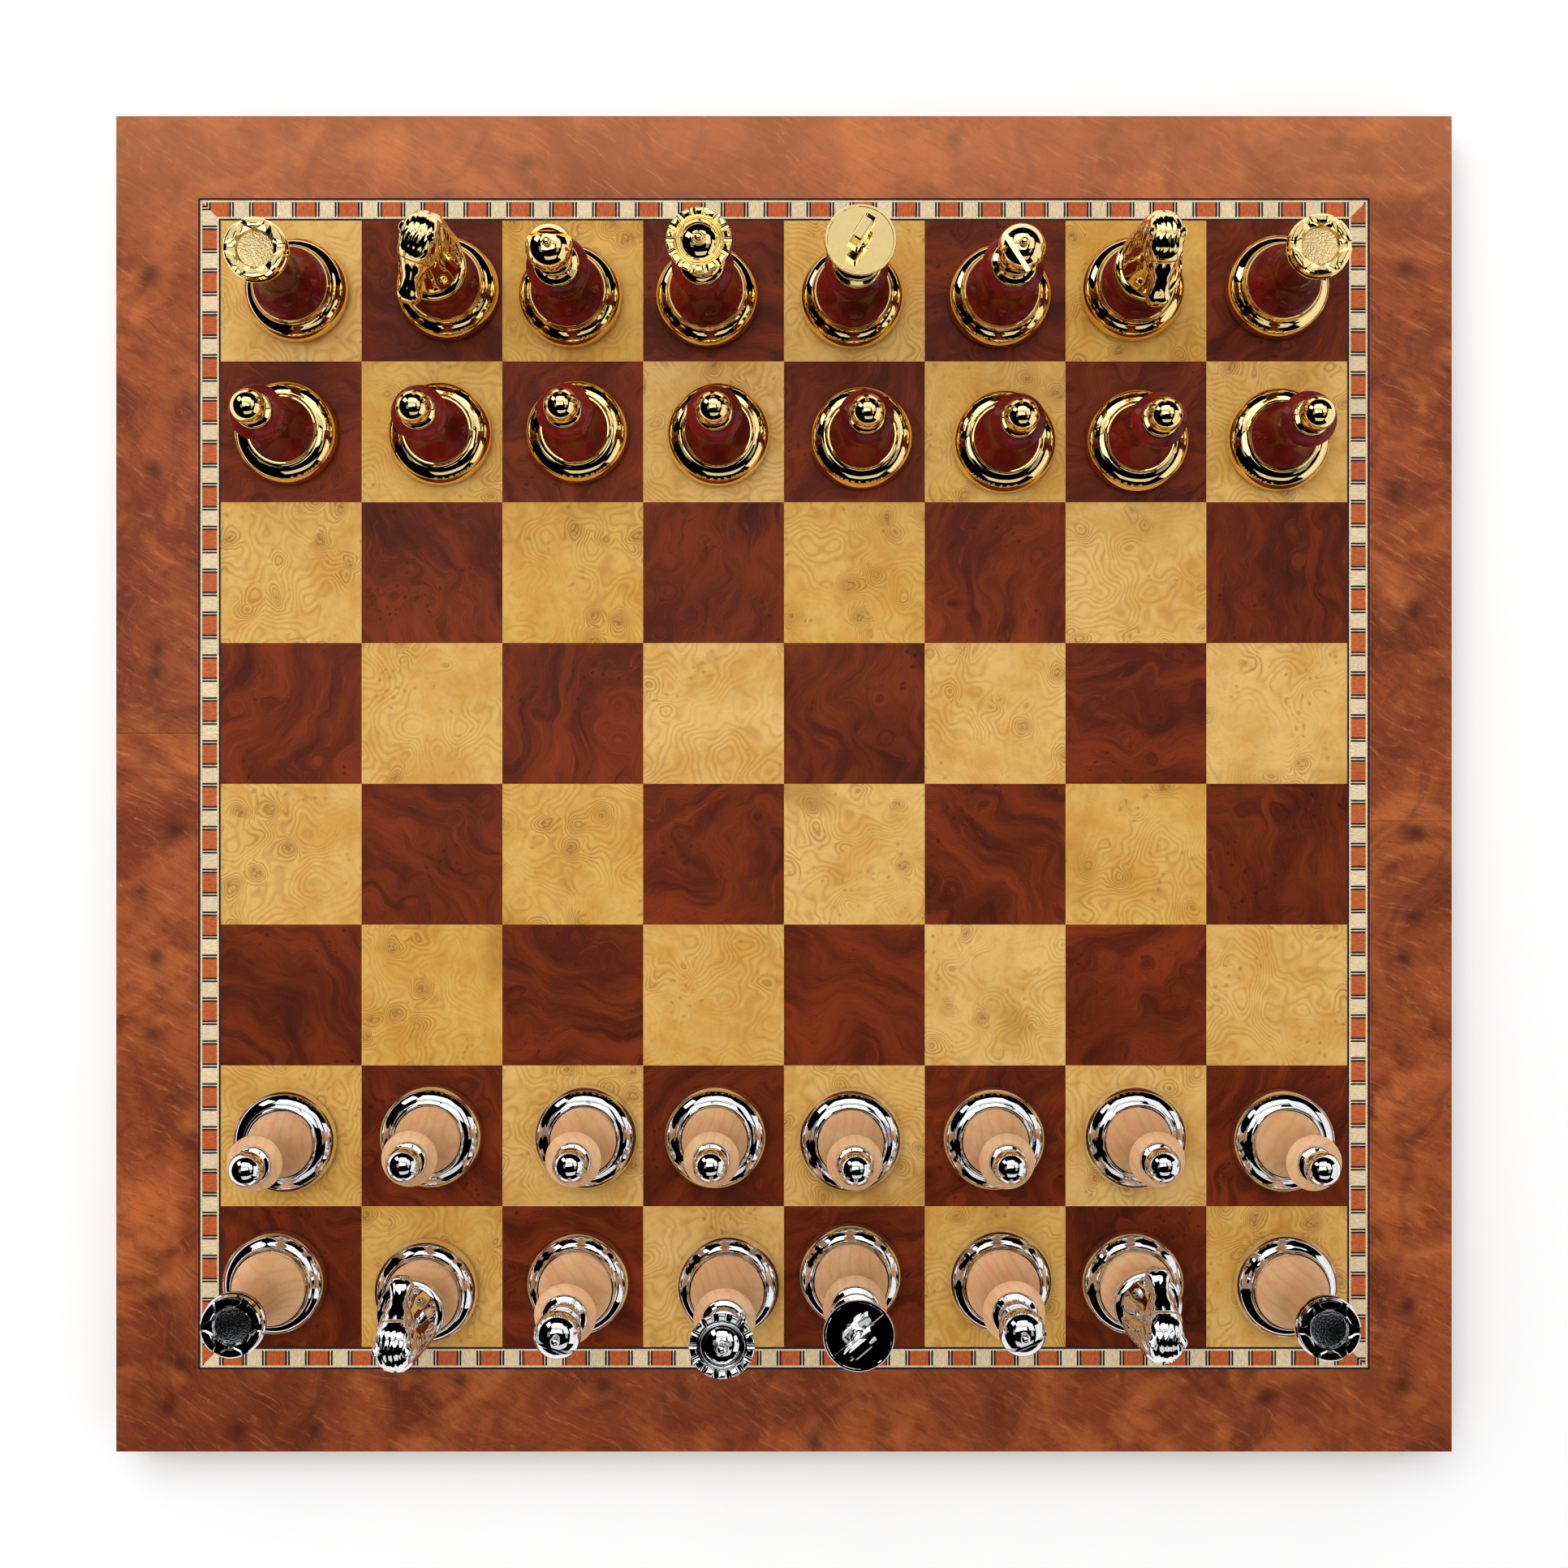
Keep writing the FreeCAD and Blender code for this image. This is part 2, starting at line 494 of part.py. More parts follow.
# king: ringed stem, wide flared crown with a flat top, cross on a small foot
king_crown = turned("king_crown", [
    ("shank_foot", 0, 2.4, 0), ("shank_low", 1.5, 2.4, 0), ("shank_top", 1.5, 33.8, 0),
    ("ring_low", 5.3, 33.8, 0.8), ("ring_top", 5.3, 35.3, 0), ("step", 4.4, 35.8, -4.0),
    ("stem", 3.9, 39.4, 0), ("bead_low", 5.4, 40.2, 0.65), ("bead_top", 5.4, 41.4, 0),
    ("throat", 4.2, 42.0, -26.0), ("crown_low", 6.6, 51.6, -4.0), ("crown_lip", 7.75, 54.0, 0.6),
    ("crown_edge", 7.75, 54.9, 0), ("rim_in", 7.35, 54.9, 0), ("table_edge", 7.25, 54.7, 0),
    ("foot_low", 1.9, 54.7, 0), ("foot_mid", 1.7, 55.6, -1.2), ("foot_top", 1.1, 56.6, 0),
    ("foot_axis", 0, 56.6, 0)])
king_cross = new_body("king_cross")
sk = plane_sketch(king_cross, "cross_front", "XZ_Plane")
dims(cross_root=1.05, cross_foot=55.9, cross_waist=0.95, cross_arm_low=59.55, cross_arm=3.8,
     cross_tip_low=58.55, cross_tip_high=62.75, cross_arm_high=61.95, cross_head=2.35,
     cross_top=65.0, cross_thick=2.6, cross_round=0.45,
     seam_half=7.2, seam_low=54.5, seam_tall=0.32, seam_wide=0.3)
half = [("cross_root", "cross_foot"), ("cross_waist", "cross_arm_low"), ("cross_arm", "cross_tip_low"),
        ("cross_arm", "cross_tip_high"), ("cross_waist", "cross_arm_high"), ("cross_head", "cross_top")]
pts = [(VAL[a], VAL[b]) for a, b in half] + [(-VAL[a], VAL[b]) for a, b in reversed(half)]
names = [(a, b) for a, b in half] + [("-" + a, b) for a, b in reversed(half)]
outline(sk, pts, names)
pad = king_cross.newObject("PartDesign::Pad", "cross_plate")
pad.Profile = sk
pad.Midplane = True
bind(pad, "Length", "cross_thick")
doc.recompute()
soft = king_cross.newObject("PartDesign::Fillet", "cross_soft_edges")
soft.Base = (pad, ["Face%d" % (i + 1) for i, f in enumerate(pad.Shape.Faces)
                   if abs(abs(f.CenterOfMass.y) - VAL["cross_thick"] / 2) < 0.001])
bind(soft, "Radius", "cross_round")
king_cross.Tip = soft
seam = doc.addObject("Part::Box", "crown_casting_line")
bind(seam, "Length", "2 * seam_half")
bind(seam, "Width", "seam_wide")
bind(seam, "Height", "seam_tall")
bind(seam, "Placement.Base.x", "-seam_half")
bind(seam, "Placement.Base.y", "-seam_wide / 2")
bind(seam, "Placement.Base.z", "seam_low")
king_head = doc.addObject("Part::MultiFuse", "king_head")
king_head.Shapes = [king_crown, seam, king_cross]

# knight: horse's neck and head lofted through ellipses, facing +X
horse_ring = turned("horse_ring", [
    ("shank_foot", 0, 2.4, 0), ("shank_low", 1.5, 2.4, 0), ("shank_top", 1.5, 22.2, 0),
    ("ring_low", 7.6, 22.2, 0.9), ("ring_top", 7.6, 23.9, 0), ("step", 7.2, 24.3, 0),
    ("mid", 0, 24.3, 0)])


def ellipse_row(name, rows):
    """Loft through ellipses: (x, z, half length, half width, lean)."""
    sections = []
    for i, (x, z, a, b, lean) in enumerate(rows):
        keys = ["%s_%s%d" % (name, q, i) for q in ("fore_", "up_", "long_", "wide_", "lean_")]
        dims(**dict(zip(keys, (x, z, a, b, lean))))
        e = doc.addObject("Part::Ellipse", "%s_section_%d" % (name, i))
        if a >= b:
            e.MajorRadius, e.MinorRadius = a, b
            bind(e, "MajorRadius", keys[2])
            bind(e, "MinorRadius", keys[3])
            spin = Rotation()
        else:
            raise SystemExit("ellipse must be longer than wide")
        e.Placement = Placement(V(x, 0, z), Rotation(V(0, 1, 0), lean))
        bind(e, "Placement.Base.x", keys[0])
        bind(e, "Placement.Base.z", keys[1])
        if lean:
            bind(e, "Placement.Rotation.Angle", keys[4])
        sections.append(e)
    loft = doc.addObject("Part::Loft", name)
    loft.Sections = sections
    loft.Solid = True
    loft.Ruled = False
    return loft


neck = ellipse_row("horse_neck", [
    (-0.2, 24.2, 7.2, 6.9, 0), (-1.1, 29.0, 6.2, 4.9, -6), (-2.2, 35.0, 5.5, 4.0, -10),
    (-2.4, 40.5, 4.9, 3.7, -8), (-2.2, 45.0, 3.4, 2.8, 0)])
head = ellipse_row("horse_face", [
    (-3.8, 43.8, 3.6, 3.5, -52), (-0.4, 42.4, 4.6, 4.4, -52), (2.8, 39.9, 4.7, 4.5, -52),
    (6.2, 37.1, 3.5, 3.3, -52), (9.0, 34.9, 2.8, 2.6, -52), (11.1, 33.3, 2.6, 2.5, -52)])
crest = ellipse_row("horse_mane", [
    (-6.2, 26.6, 1.7, 1.4, 0), (-6.6, 32.0, 1.9, 1.6, -5), (-6.4, 38.0, 2.1, 1.9, 0),
    (-4.9, 43.2, 2.6, 2.5, 25), (-2.4, 45.6, 2.3, 2.2, 60)])
ears = []
for s, side in ((1, "left"), (-1, "right")):
    ear = doc.addObject("Part::Cone", "horse_ear_" + side)
    if s == 1:
        dims(ear_rad=1.35, ear_tip=0.3, ear_tall=3.9, ear_fore=-1.0, ear_side=2.3, ear_up=44.5)
    bind(ear, "Radius1", "ear_rad")
    bind(ear, "Radius2", "ear_tip")
    bind(ear, "Height", "ear_tall")
    ear.Placement = Placement(V(-1.0, 2.3 * s, 44.5), Rotation(V(1, 0, 0), -9 * s))
    bind(ear, "Placement.Base.x", "ear_fore")
    bind(ear, "Placement.Base.y", "ear_side" if s == 1 else "-ear_side")
    bind(ear, "Placement.Base.z", "ear_up")
    ears.append(ear)
horse_head = doc.addObject("Part::MultiFuse", "horse_head")
horse_head.Shapes = [horse_ring, neck, head, crest] + ears

# ---------------------------------------------------------------- the men on the board
PLAN = {
    "black_back": [(-120.7, 122.2), (-83.3, 122.6), (-52.9, 120.8), (-19.0, 120.8),
                   (16.8, 120.5), (53.3, 120.8), (86.3, 122.5), (122.1, 122.9)],
    "black_pawn": [(-123.2, 86.9), (-85.2, 86.7), (-51.3, 87.1), (-16.3, 86.5),
                   (19.1, 85.7), (54.5, 84.8), (87.4, 85.0), (122.4, 85.3)],
    "white_pawn": [(-123.5, -88.3), (-87.4, -87.2), (-49.2, -87.4), (-17.0, -87.4),
                   (16.4, -88.1), (51.9, -87.8), (86.9, -87.4), (123.5, -88.2)],
    "white_back": [(-125.9, -123.3), (-88.5, -125.4), (-51.0, -123.5), (-13.9, -124.2),
                   (16.4, -121.6), (53.5, -122.9), (86.2, -123.4), (124.1, -124.0)],
}
TURN = {"black_rook_a": 0, "black_rook_h": 0, "white_rook_a": 0, "white_rook_h": 0,
        "black_knight_b": 250, "black_knight_g": 270, "white_knight_b": 90, "white_knight_g": 90,
        "black_bishop_c": 90, "black_bishop_f": 213, "white_bishop_c": 250, "white_bishop_f": 293,
        "black_queen": 0, "white_queen": 0, "black_king": 57, "white_king": 40}
FILES = "abcdefgh"
ORDER = ["rook", "knight", "bishop", "queen", "king", "bishop", "knight", "rook"]
WOOD = {"rook": rook_wood, "knight": knight_wood, "bishop": bishop_wood,
        "queen": queen_wood, "king": king_wood}
HEAD = {"rook": rook_head, "knight": horse_head, "bishop": bishop_head,
        "queen": queen_head, "king": king_head}
for side in ("black", "white"):
    for i in range(8):
        kind = ORDER[i]
        man = "%s_%s" % (side, kind)
        if kind not in ("queen", "king"):
            man += "_" + FILES[i]
        x, y = PLAN[side + "_back"][i]
        kx, ky, kt = man + "_across", man + "_away", man + "_turn"
        dims(**{kx: x, ky: y, kt: TURN[man]})
        where = dict(bx=kx, by=ky, bz="board_thick", turn=kt if TURN[man] else None)
        if kind in ("queen", "king"):
            node(man + "_base", [felt, officer_base], **where)
            node(man + "_body", [WOOD[kind]], **where)
            node(man + "_crown", [HEAD[kind]], **where)
        else:
            node(man + "_wood", [WOOD[kind]], **where)
            node(man + "_metal", [felt, officer_base, HEAD[kind]], **where)
    for i in range(8):
        man = "%s_pawn_%s" % (side, FILES[i])
        x, y = PLAN[side + "_pawn"][i]
        kx, ky = man + "_across", man + "_away"
        dims(**{kx: x, ky: y})
        node(man, [felt, pawn_base, pawn_wood, pawn_head], bx=kx, by=ky, bz="board_thick")

doc.recompute()

# ---------------------------------------------------------------- checks and export
bad = []
for obj in doc.Objects:
    if "Invalid" in obj.State or "Error" in obj.State:
        bad.append("%s %s" % (obj.Name, obj.State))
for obj in NODES:
    shp = obj.Shape
    if shp.isNull() or not shp.isValid() or shp.Volume <= 0:
        bad.append("shape of " + obj.Label)
if bad:
    raise SystemExit("not built: " + "; ".join(bad))
if len(NODES) > 60:
    raise SystemExit("too many nodes")
for obj in NODES:
    obj.Shape.exportStep("parts/%s.step" % obj.Label)
    b = obj.Shape.BoundBox
    print("%-24s solids %4d  volume %10.1f  x %.2f %.2f  y %.2f %.2f  z %.2f %.2f" % (
        obj.Label, len(obj.Shape.Solids), obj.Shape.Volume,
        b.XMin, b.XMax, b.YMin, b.YMax, b.ZMin, b.ZMax))
print(len(NODES), "nodes")
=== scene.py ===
import json
import math
import bpy
import bmesh
import numpy as np
from mathutils import Matrix, Vector, Euler

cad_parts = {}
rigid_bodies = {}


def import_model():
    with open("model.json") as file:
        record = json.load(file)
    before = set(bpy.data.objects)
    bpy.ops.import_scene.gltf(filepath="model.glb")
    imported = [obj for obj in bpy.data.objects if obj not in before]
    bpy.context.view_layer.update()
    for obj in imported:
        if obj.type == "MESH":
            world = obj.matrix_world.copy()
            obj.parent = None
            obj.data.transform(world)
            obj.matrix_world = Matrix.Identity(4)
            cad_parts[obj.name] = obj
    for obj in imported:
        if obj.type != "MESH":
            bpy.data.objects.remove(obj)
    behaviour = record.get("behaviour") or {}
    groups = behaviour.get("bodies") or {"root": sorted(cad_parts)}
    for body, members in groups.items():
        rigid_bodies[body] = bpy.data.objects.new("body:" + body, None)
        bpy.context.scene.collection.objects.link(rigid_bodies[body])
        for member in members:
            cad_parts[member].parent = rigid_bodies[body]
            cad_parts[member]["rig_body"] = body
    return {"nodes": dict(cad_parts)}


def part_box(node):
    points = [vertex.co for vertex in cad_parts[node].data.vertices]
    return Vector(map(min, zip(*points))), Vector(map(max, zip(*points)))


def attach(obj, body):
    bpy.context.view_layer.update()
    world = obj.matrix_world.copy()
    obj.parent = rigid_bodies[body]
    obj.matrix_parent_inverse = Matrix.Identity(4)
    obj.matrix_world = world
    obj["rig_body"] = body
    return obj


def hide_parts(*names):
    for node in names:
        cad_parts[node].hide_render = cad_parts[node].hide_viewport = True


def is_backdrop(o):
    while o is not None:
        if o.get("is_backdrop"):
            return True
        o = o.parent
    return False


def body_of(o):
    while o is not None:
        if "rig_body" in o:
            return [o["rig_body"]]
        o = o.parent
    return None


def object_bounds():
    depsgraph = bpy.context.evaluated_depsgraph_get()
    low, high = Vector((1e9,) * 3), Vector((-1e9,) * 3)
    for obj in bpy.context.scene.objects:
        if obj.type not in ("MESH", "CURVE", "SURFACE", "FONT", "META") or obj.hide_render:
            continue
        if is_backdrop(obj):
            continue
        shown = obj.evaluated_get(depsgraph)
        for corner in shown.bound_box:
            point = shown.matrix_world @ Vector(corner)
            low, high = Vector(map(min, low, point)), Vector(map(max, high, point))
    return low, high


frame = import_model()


def plain(b):
    out = []
    for item in b:
        try:
            out.append([float(x) for x in item])
        except TypeError:
            out.append(float(item))
    return out


SIZE = {"cad": plain(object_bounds())}
scene = bpy.context.scene
NODES = frame["nodes"]
MM = 0.001

# ------------------------------------------------------------------ shader graph helper


class Graph:
    """A material's node tree, written as expressions."""

    def __init__(self, name):
        self.mat = bpy.data.materials.new(name)
        self.mat.use_nodes = True
        self.nt = self.mat.node_tree
        self.nt.nodes.clear()
        self.out = self.nt.nodes.new("ShaderNodeOutputMaterial")
        self.bsdf = self.nt.nodes.new("ShaderNodeBsdfPrincipled")
        self.nt.links.new(self.bsdf.outputs[0], self.out.inputs[0])
        self._obj = None

    def put(self, socket, value):
        if isinstance(value, bpy.types.NodeSocket):
            self.nt.links.new(value, socket)
        elif isinstance(value, (tuple, list)) and len(value) == 3 and len(socket.default_value) == 4:
            socket.default_value = (*value, 1.0)
        else:
            socket.default_value = value

    def set(self, **kw):
        for key, value in kw.items():
            self.put(self.bsdf.inputs[key.replace("_", " ")], value)

    def coords(self):
        if self._obj is None:
            n = self.nt.nodes.new("ShaderNodeTexCoord")
            self._obj = n.outputs["Object"]
        return self._obj

    def math(self, op, a, b=0.0, c=0.0, clamp=False):
        n = self.nt.nodes.new("ShaderNodeMath")
        n.operation = op
        n.use_clamp = clamp
        for i, v in enumerate((a, b, c)):
            self.put(n.inputs[i], v)
        return n.outputs[0]

    def add(self, a, b):
        return self.math("ADD", a, b)

    def sub(self, a, b):
        return self.math("SUBTRACT", a, b)

    def mul(self, a, b):
        return self.math("MULTIPLY", a, b)

    def mad(self, a, b, c):
        return self.math("MULTIPLY_ADD", a, b, c)

    def smooth(self, value, low, high):
        n = self.nt.nodes.new("ShaderNodeMapRange")
        n.interpolation_type = "SMOOTHSTEP"
        self.put(n.inputs["Value"], value)
        self.put(n.inputs["From Min"], low)
        self.put(n.inputs["From Max"], high)
        return n.outputs["Result"]

    def ramp(self, value, low, high, to0=0.0, to1=1.0):
        n = self.nt.nodes.new("ShaderNodeMapRange")
        self.put(n.inputs["Value"], value)
        self.put(n.inputs["From Min"], low)
        self.put(n.inputs["From Max"], high)
        self.put(n.inputs["To Min"], to0)
        self.put(n.inputs["To Max"], to1)
        return n.outputs["Result"]

    def vmath(self, op, a, b=(0, 0, 0)):
        n = self.nt.nodes.new("ShaderNodeVectorMath")
        n.operation = op
        self.put(n.inputs[0], a)
        if op == "SCALE":
            self.put(n.inputs["Scale"], b)
        else:
            self.put(n.inputs[1], b)
        return n.outputs["Value"] if op in ("LENGTH", "DISTANCE", "DOT_PRODUCT") else n.outputs["Vector"]

    def split(self, v):
        n = self.nt.nodes.new("ShaderNodeSeparateXYZ")
        self.put(n.inputs[0], v)
        return n.outputs

    def join(self, x=0.0, y=0.0, z=0.0):
        n = self.nt.nodes.new("ShaderNodeCombineXYZ")
        for i, v in enumerate((x, y, z)):
            self.put(n.inputs[i], v)
        return n.outputs[0]

    def spin(self, v, angle):
        n = self.nt.nodes.new("ShaderNodeVectorRotate")
        n.rotation_type = "Z_AXIS"
        self.put(n.inputs["Vector"], v)
        self.put(n.inputs["Angle"], angle)
        return n.outputs[0]

    def noise(self, v, scale=1.0, detail=2.0, rough=0.5, warp=0.0):
        n = self.nt.nodes.new("ShaderNodeTexNoise")
        self.put(n.inputs["Vector"], v)
        self.put(n.inputs["Scale"], scale)
        self.put(n.inputs["Detail"], detail)
        self.put(n.inputs["Roughness"], rough)
        self.put(n.inputs["Distortion"], warp)
        return n.outputs["Fac"]

    def voronoi(self, v, scale=1.0, rand=1.0, dims="3D", feature="F1"):
        n = self.nt.nodes.new("ShaderNodeTexVoronoi")
        n.voronoi_dimensions = dims
        n.feature = feature
        self.put(n.inputs["Vector"], v)
        self.put(n.inputs["Scale"], scale)
        self.put(n.inputs["Randomness"], rand)
        return n.outputs["Distance"], n.outputs["Color"]

    def white(self, v):
        n = self.nt.nodes.new("ShaderNodeTexWhiteNoise")
        n.noise_dimensions = "3D"
        self.put(n.inputs["Vector"], v)
        return n.outputs["Value"], n.outputs["Color"]

    def mix(self, fac, a, b, mode="MIX"):
        n = self.nt.nodes.new("ShaderNodeMix")
        n.data_type = "RGBA"
        n.blend_type = mode
        n.clamp_result = False
        self.put(n.inputs[0], fac)
        self.put(n.inputs[6], a)
        self.put(n.inputs[7], b)
        return n.outputs[2]

    def bump(self, height, strength=0.2, distance=0.0001, normal=None):
        n = self.nt.nodes.new("ShaderNodeBump")
        n.inputs["Strength"].default_value = strength
        n.inputs["Distance"].default_value = distance
        self.put(n.inputs["Height"], height)
        if normal is not None:
            self.put(n.inputs["Normal"], normal)
        return n.outputs[0]


def srgb(r, g, b):
    def f(c):
        c = c / 255.0
        return c / 12.92 if c <= 0.04045 else ((c + 0.055) / 1.055) ** 2.4
    return (f(r), f(g), f(b))


# ------------------------------------------------------------------ board materials


def veneer_square(name, pale, gold, brown, light):
    """Burl veneer cut in 35 mm squares, each with its own figure and tint."""
    g = Graph(name)
    p = g.vmath("SCALE", g.coords(), 1000.0)
    ids = g.vmath("FLOOR", g.vmath("SCALE", g.vmath("ADD", p, (140.0, 140.0, 0.0)), 1 / 35.0))
    x, y, z = g.split(ids)
    cell = g.join(x, y, 0.0)
    rnd, rcol = g.white(g.vmath("ADD", cell, (3.7, 1.3, 0.5)))
    r1, r2, r3 = g.split(rcol)
    px, py, pz = g.split(p)
    flat = g.join(px, py, 0.0)
    local = g.spin(flat, g.mul(r1, 6.2832))
    local = g.vmath("ADD", local, g.join(g.mul(r2, 900.0), g.mul(r3, 900.0), g.mul(rnd, 50.0)))
    lx, ly, lz = g.split(local)
    flow = g.noise(local, 0.028, 2.0, 0.55)
    flow2 = g.noise(local, 0.11, 2.0, 0.5)
    wob = g.join(g.mul(flow2, 7.0), g.mul(flow, 9.0), 0.0)
    dist, dcol = g.voronoi(g.vmath("ADD", local, wob), 0.125, 0.95, "2D")
    keep, k2, k3 = g.split(dcol)
    patch = g.smooth(g.noise(local, 0.055, 1.0, 0.5), 0.44, 0.60)
    eye = g.mul(g.math("EXPONENT", g.mul(g.mul(dist, dist), -9.0)), g.mul(patch, g.smooth(keep, 0.25, 0.6)))
    small, scol = g.voronoi(g.vmath("ADD", local, wob), 0.42, 1.0, "2D")
    sk, s2, s3 = g.split(scol)
    pip = g.mul(g.math("EXPONENT", g.mul(g.mul(small, small), -14.0)),
                g.mul(g.smooth(g.noise(local, 0.075, 1.0, 0.5), 0.52, 0.66), g.smooth(sk, 0.35, 0.7)))
    h = g.add(g.add(lx, g.mul(flow, 24.0 if light else 46.0)), g.add(g.mul(flow2, 4.0), g.add(g.mul(eye, 8.0), g.mul(pip, 2.2))))
    fib = g.noise(g.join(g.mul(h, 5.0), g.mul(ly, 0.35), 0.0), 1.0, 3.0, 0.65)
    lines = g.mad(g.math("SINE", g.mad(h, 7.6, g.mul(fib, 2.2))), 0.5, 0.5)
    broad = g.mad(g.math("SINE", g.mul(h, 1.05)), 0.5, 0.5)
    cloud = g.noise(local, 0.07, 3.0, 0.55)
    mott = g.noise(local, 0.5, 3.0, 0.6)
    fine = g.noise(g.vmath("MULTIPLY", local, (6.0, 1.6, 1.0)), 1.0, 2.0, 0.7)
    if light:
        c = g.mix(g.smooth(g.mad(broad, 0.06, g.mul(cloud, 1.0)), 0.36, 0.76), pale, gold)
        # growth lines run as contours round the eyes and stay faint on the plain squares
        lie = g.noise(local, 0.045, 2.0, 0.5)
        h2 = g.add(g.mul(lx, g.mul(r3, 0.30)), g.add(g.mul(lie, 34.0), g.mad(eye, 6.5, g.mul(flow2, 3.0))))
        h2 = g.add(h2, g.mul(fib, 0.22))
        wave = g.mad(g.math("SINE", g.mul(h2, 5.2)), 0.5, 0.5)
        thin = g.math("POWER", wave, 3.0)
        zone = g.smooth(g.noise(local, 0.05, 1.0, 0.5), 0.40, 0.58)
        near_eye = g.smooth(eye, 0.02, 0.30)
        amp = g.math("ADD", g.mad(zone, 0.25, 0.07), g.mul(near_eye, 0.36), clamp=True)
        c = g.mix(g.mul(thin, amp), c, brown)
        c = g.mix(g.mul(g.math("POWER", g.sub(1.0, wave), 4.0), g.mul(amp, 0.45)), c, srgb(240, 206, 134))
        c = g.mix(g.mul(g.smooth(fib, 0.42, 0.8), 0.20), c, brown)
        c = g.mix(g.mul(g.smooth(mott, 0.48, 0.78), 0.24), c, brown)
        c = g.mix(g.mul(g.smooth(eye, 0.05, 0.9), 0.36), c, brown)
        core = g.mul(g.smooth(eye, 0.62, 0.95), g.smooth(g.noise(local, 1.1, 3.0, 0.6), 0.46, 0.60))
        c = g.mix(g.mul(core, 0.60), c, srgb(120, 76, 32))
        c = g.mix(g.mul(g.smooth(pip, 0.20, 0.95), 0.50), c, srgb(146, 98, 44))
        smudge = g.mul(g.smooth(g.noise(local, 0.035, 2.0, 0.5), 0.60, 0.72), g.smooth(r3, 0.55, 0.7))
        c = g.mix(g.mul(smudge, 0.45), c, srgb(150, 104, 40))
        c = g.mix(g.mul(fine, 0.10), c, srgb(250, 222, 160), "SCREEN")
        tint = g.mix(rnd, (0.96, 0.93, 0.86), (0.88, 0.78, 0.48))
        c = g.mix(1.0, c, tint, "MULTIPLY")
    else:
        band = g.noise(g.join(g.mul(h, 0.105), g.mul(ly, 0.028), 0.0), 1.0, 3.0, 0.6)
        c = g.mix(g.smooth(band, 0.34, 0.70), pale, gold)
        c = g.mix(g.mul(g.smooth(g.noise(g.join(g.mul(h, 0.16), g.mul(ly, 0.04), 4.0), 1.0, 2.0, 0.5), 0.55, 0.68), 0.62), c, brown)
        c = g.mix(g.mul(g.smooth(cloud, 0.5, 0.75), 0.25), c, gold)
        c = g.mix(g.mul(g.smooth(fib, 0.45, 0.75), 0.30), c, brown)
        c = g.mix(g.mul(lines, 0.13), c, brown)
        c = g.mix(g.mul(g.smooth(pip, 0.3, 0.95), 0.55), c, srgb(52, 20, 12))
        c = g.mix(g.mul(g.smooth(fine, 0.55, 0.85), 0.22), c, srgb(190, 100, 60))
        dstreak = g.noise(g.join(g.mul(h, 0.55), g.mul(ly, 0.12), 9.0), 1.0, 5.0, 0.72)
        c = g.mix(g.mul(g.smooth(dstreak, 0.52, 0.72), 0.45), c, brown)
        c = g.mix(g.mul(g.sub(1.0, g.smooth(dstreak, 0.30, 0.46)), 0.30), c, srgb(158, 76, 38))
        tint = g.mix(rnd, (0.94, 0.70, 0.42), (0.76, 0.58, 0.38))
        c = g.mix(1.0, c, tint, "MULTIPLY")
    g.set(Base_Color=c, Roughness=g.mad(fine, 0.10, 0.33), Specular_IOR_Level=0.06,
          Coat_Weight=0.03, Coat_Roughness=0.24, Coat_IOR=1.5)
    height = g.add(g.mul(fib, 0.6), g.mul(fine, 0.4))
    g.set(Normal=g.bump(height, 0.10, 0.00006))
    return g.mat


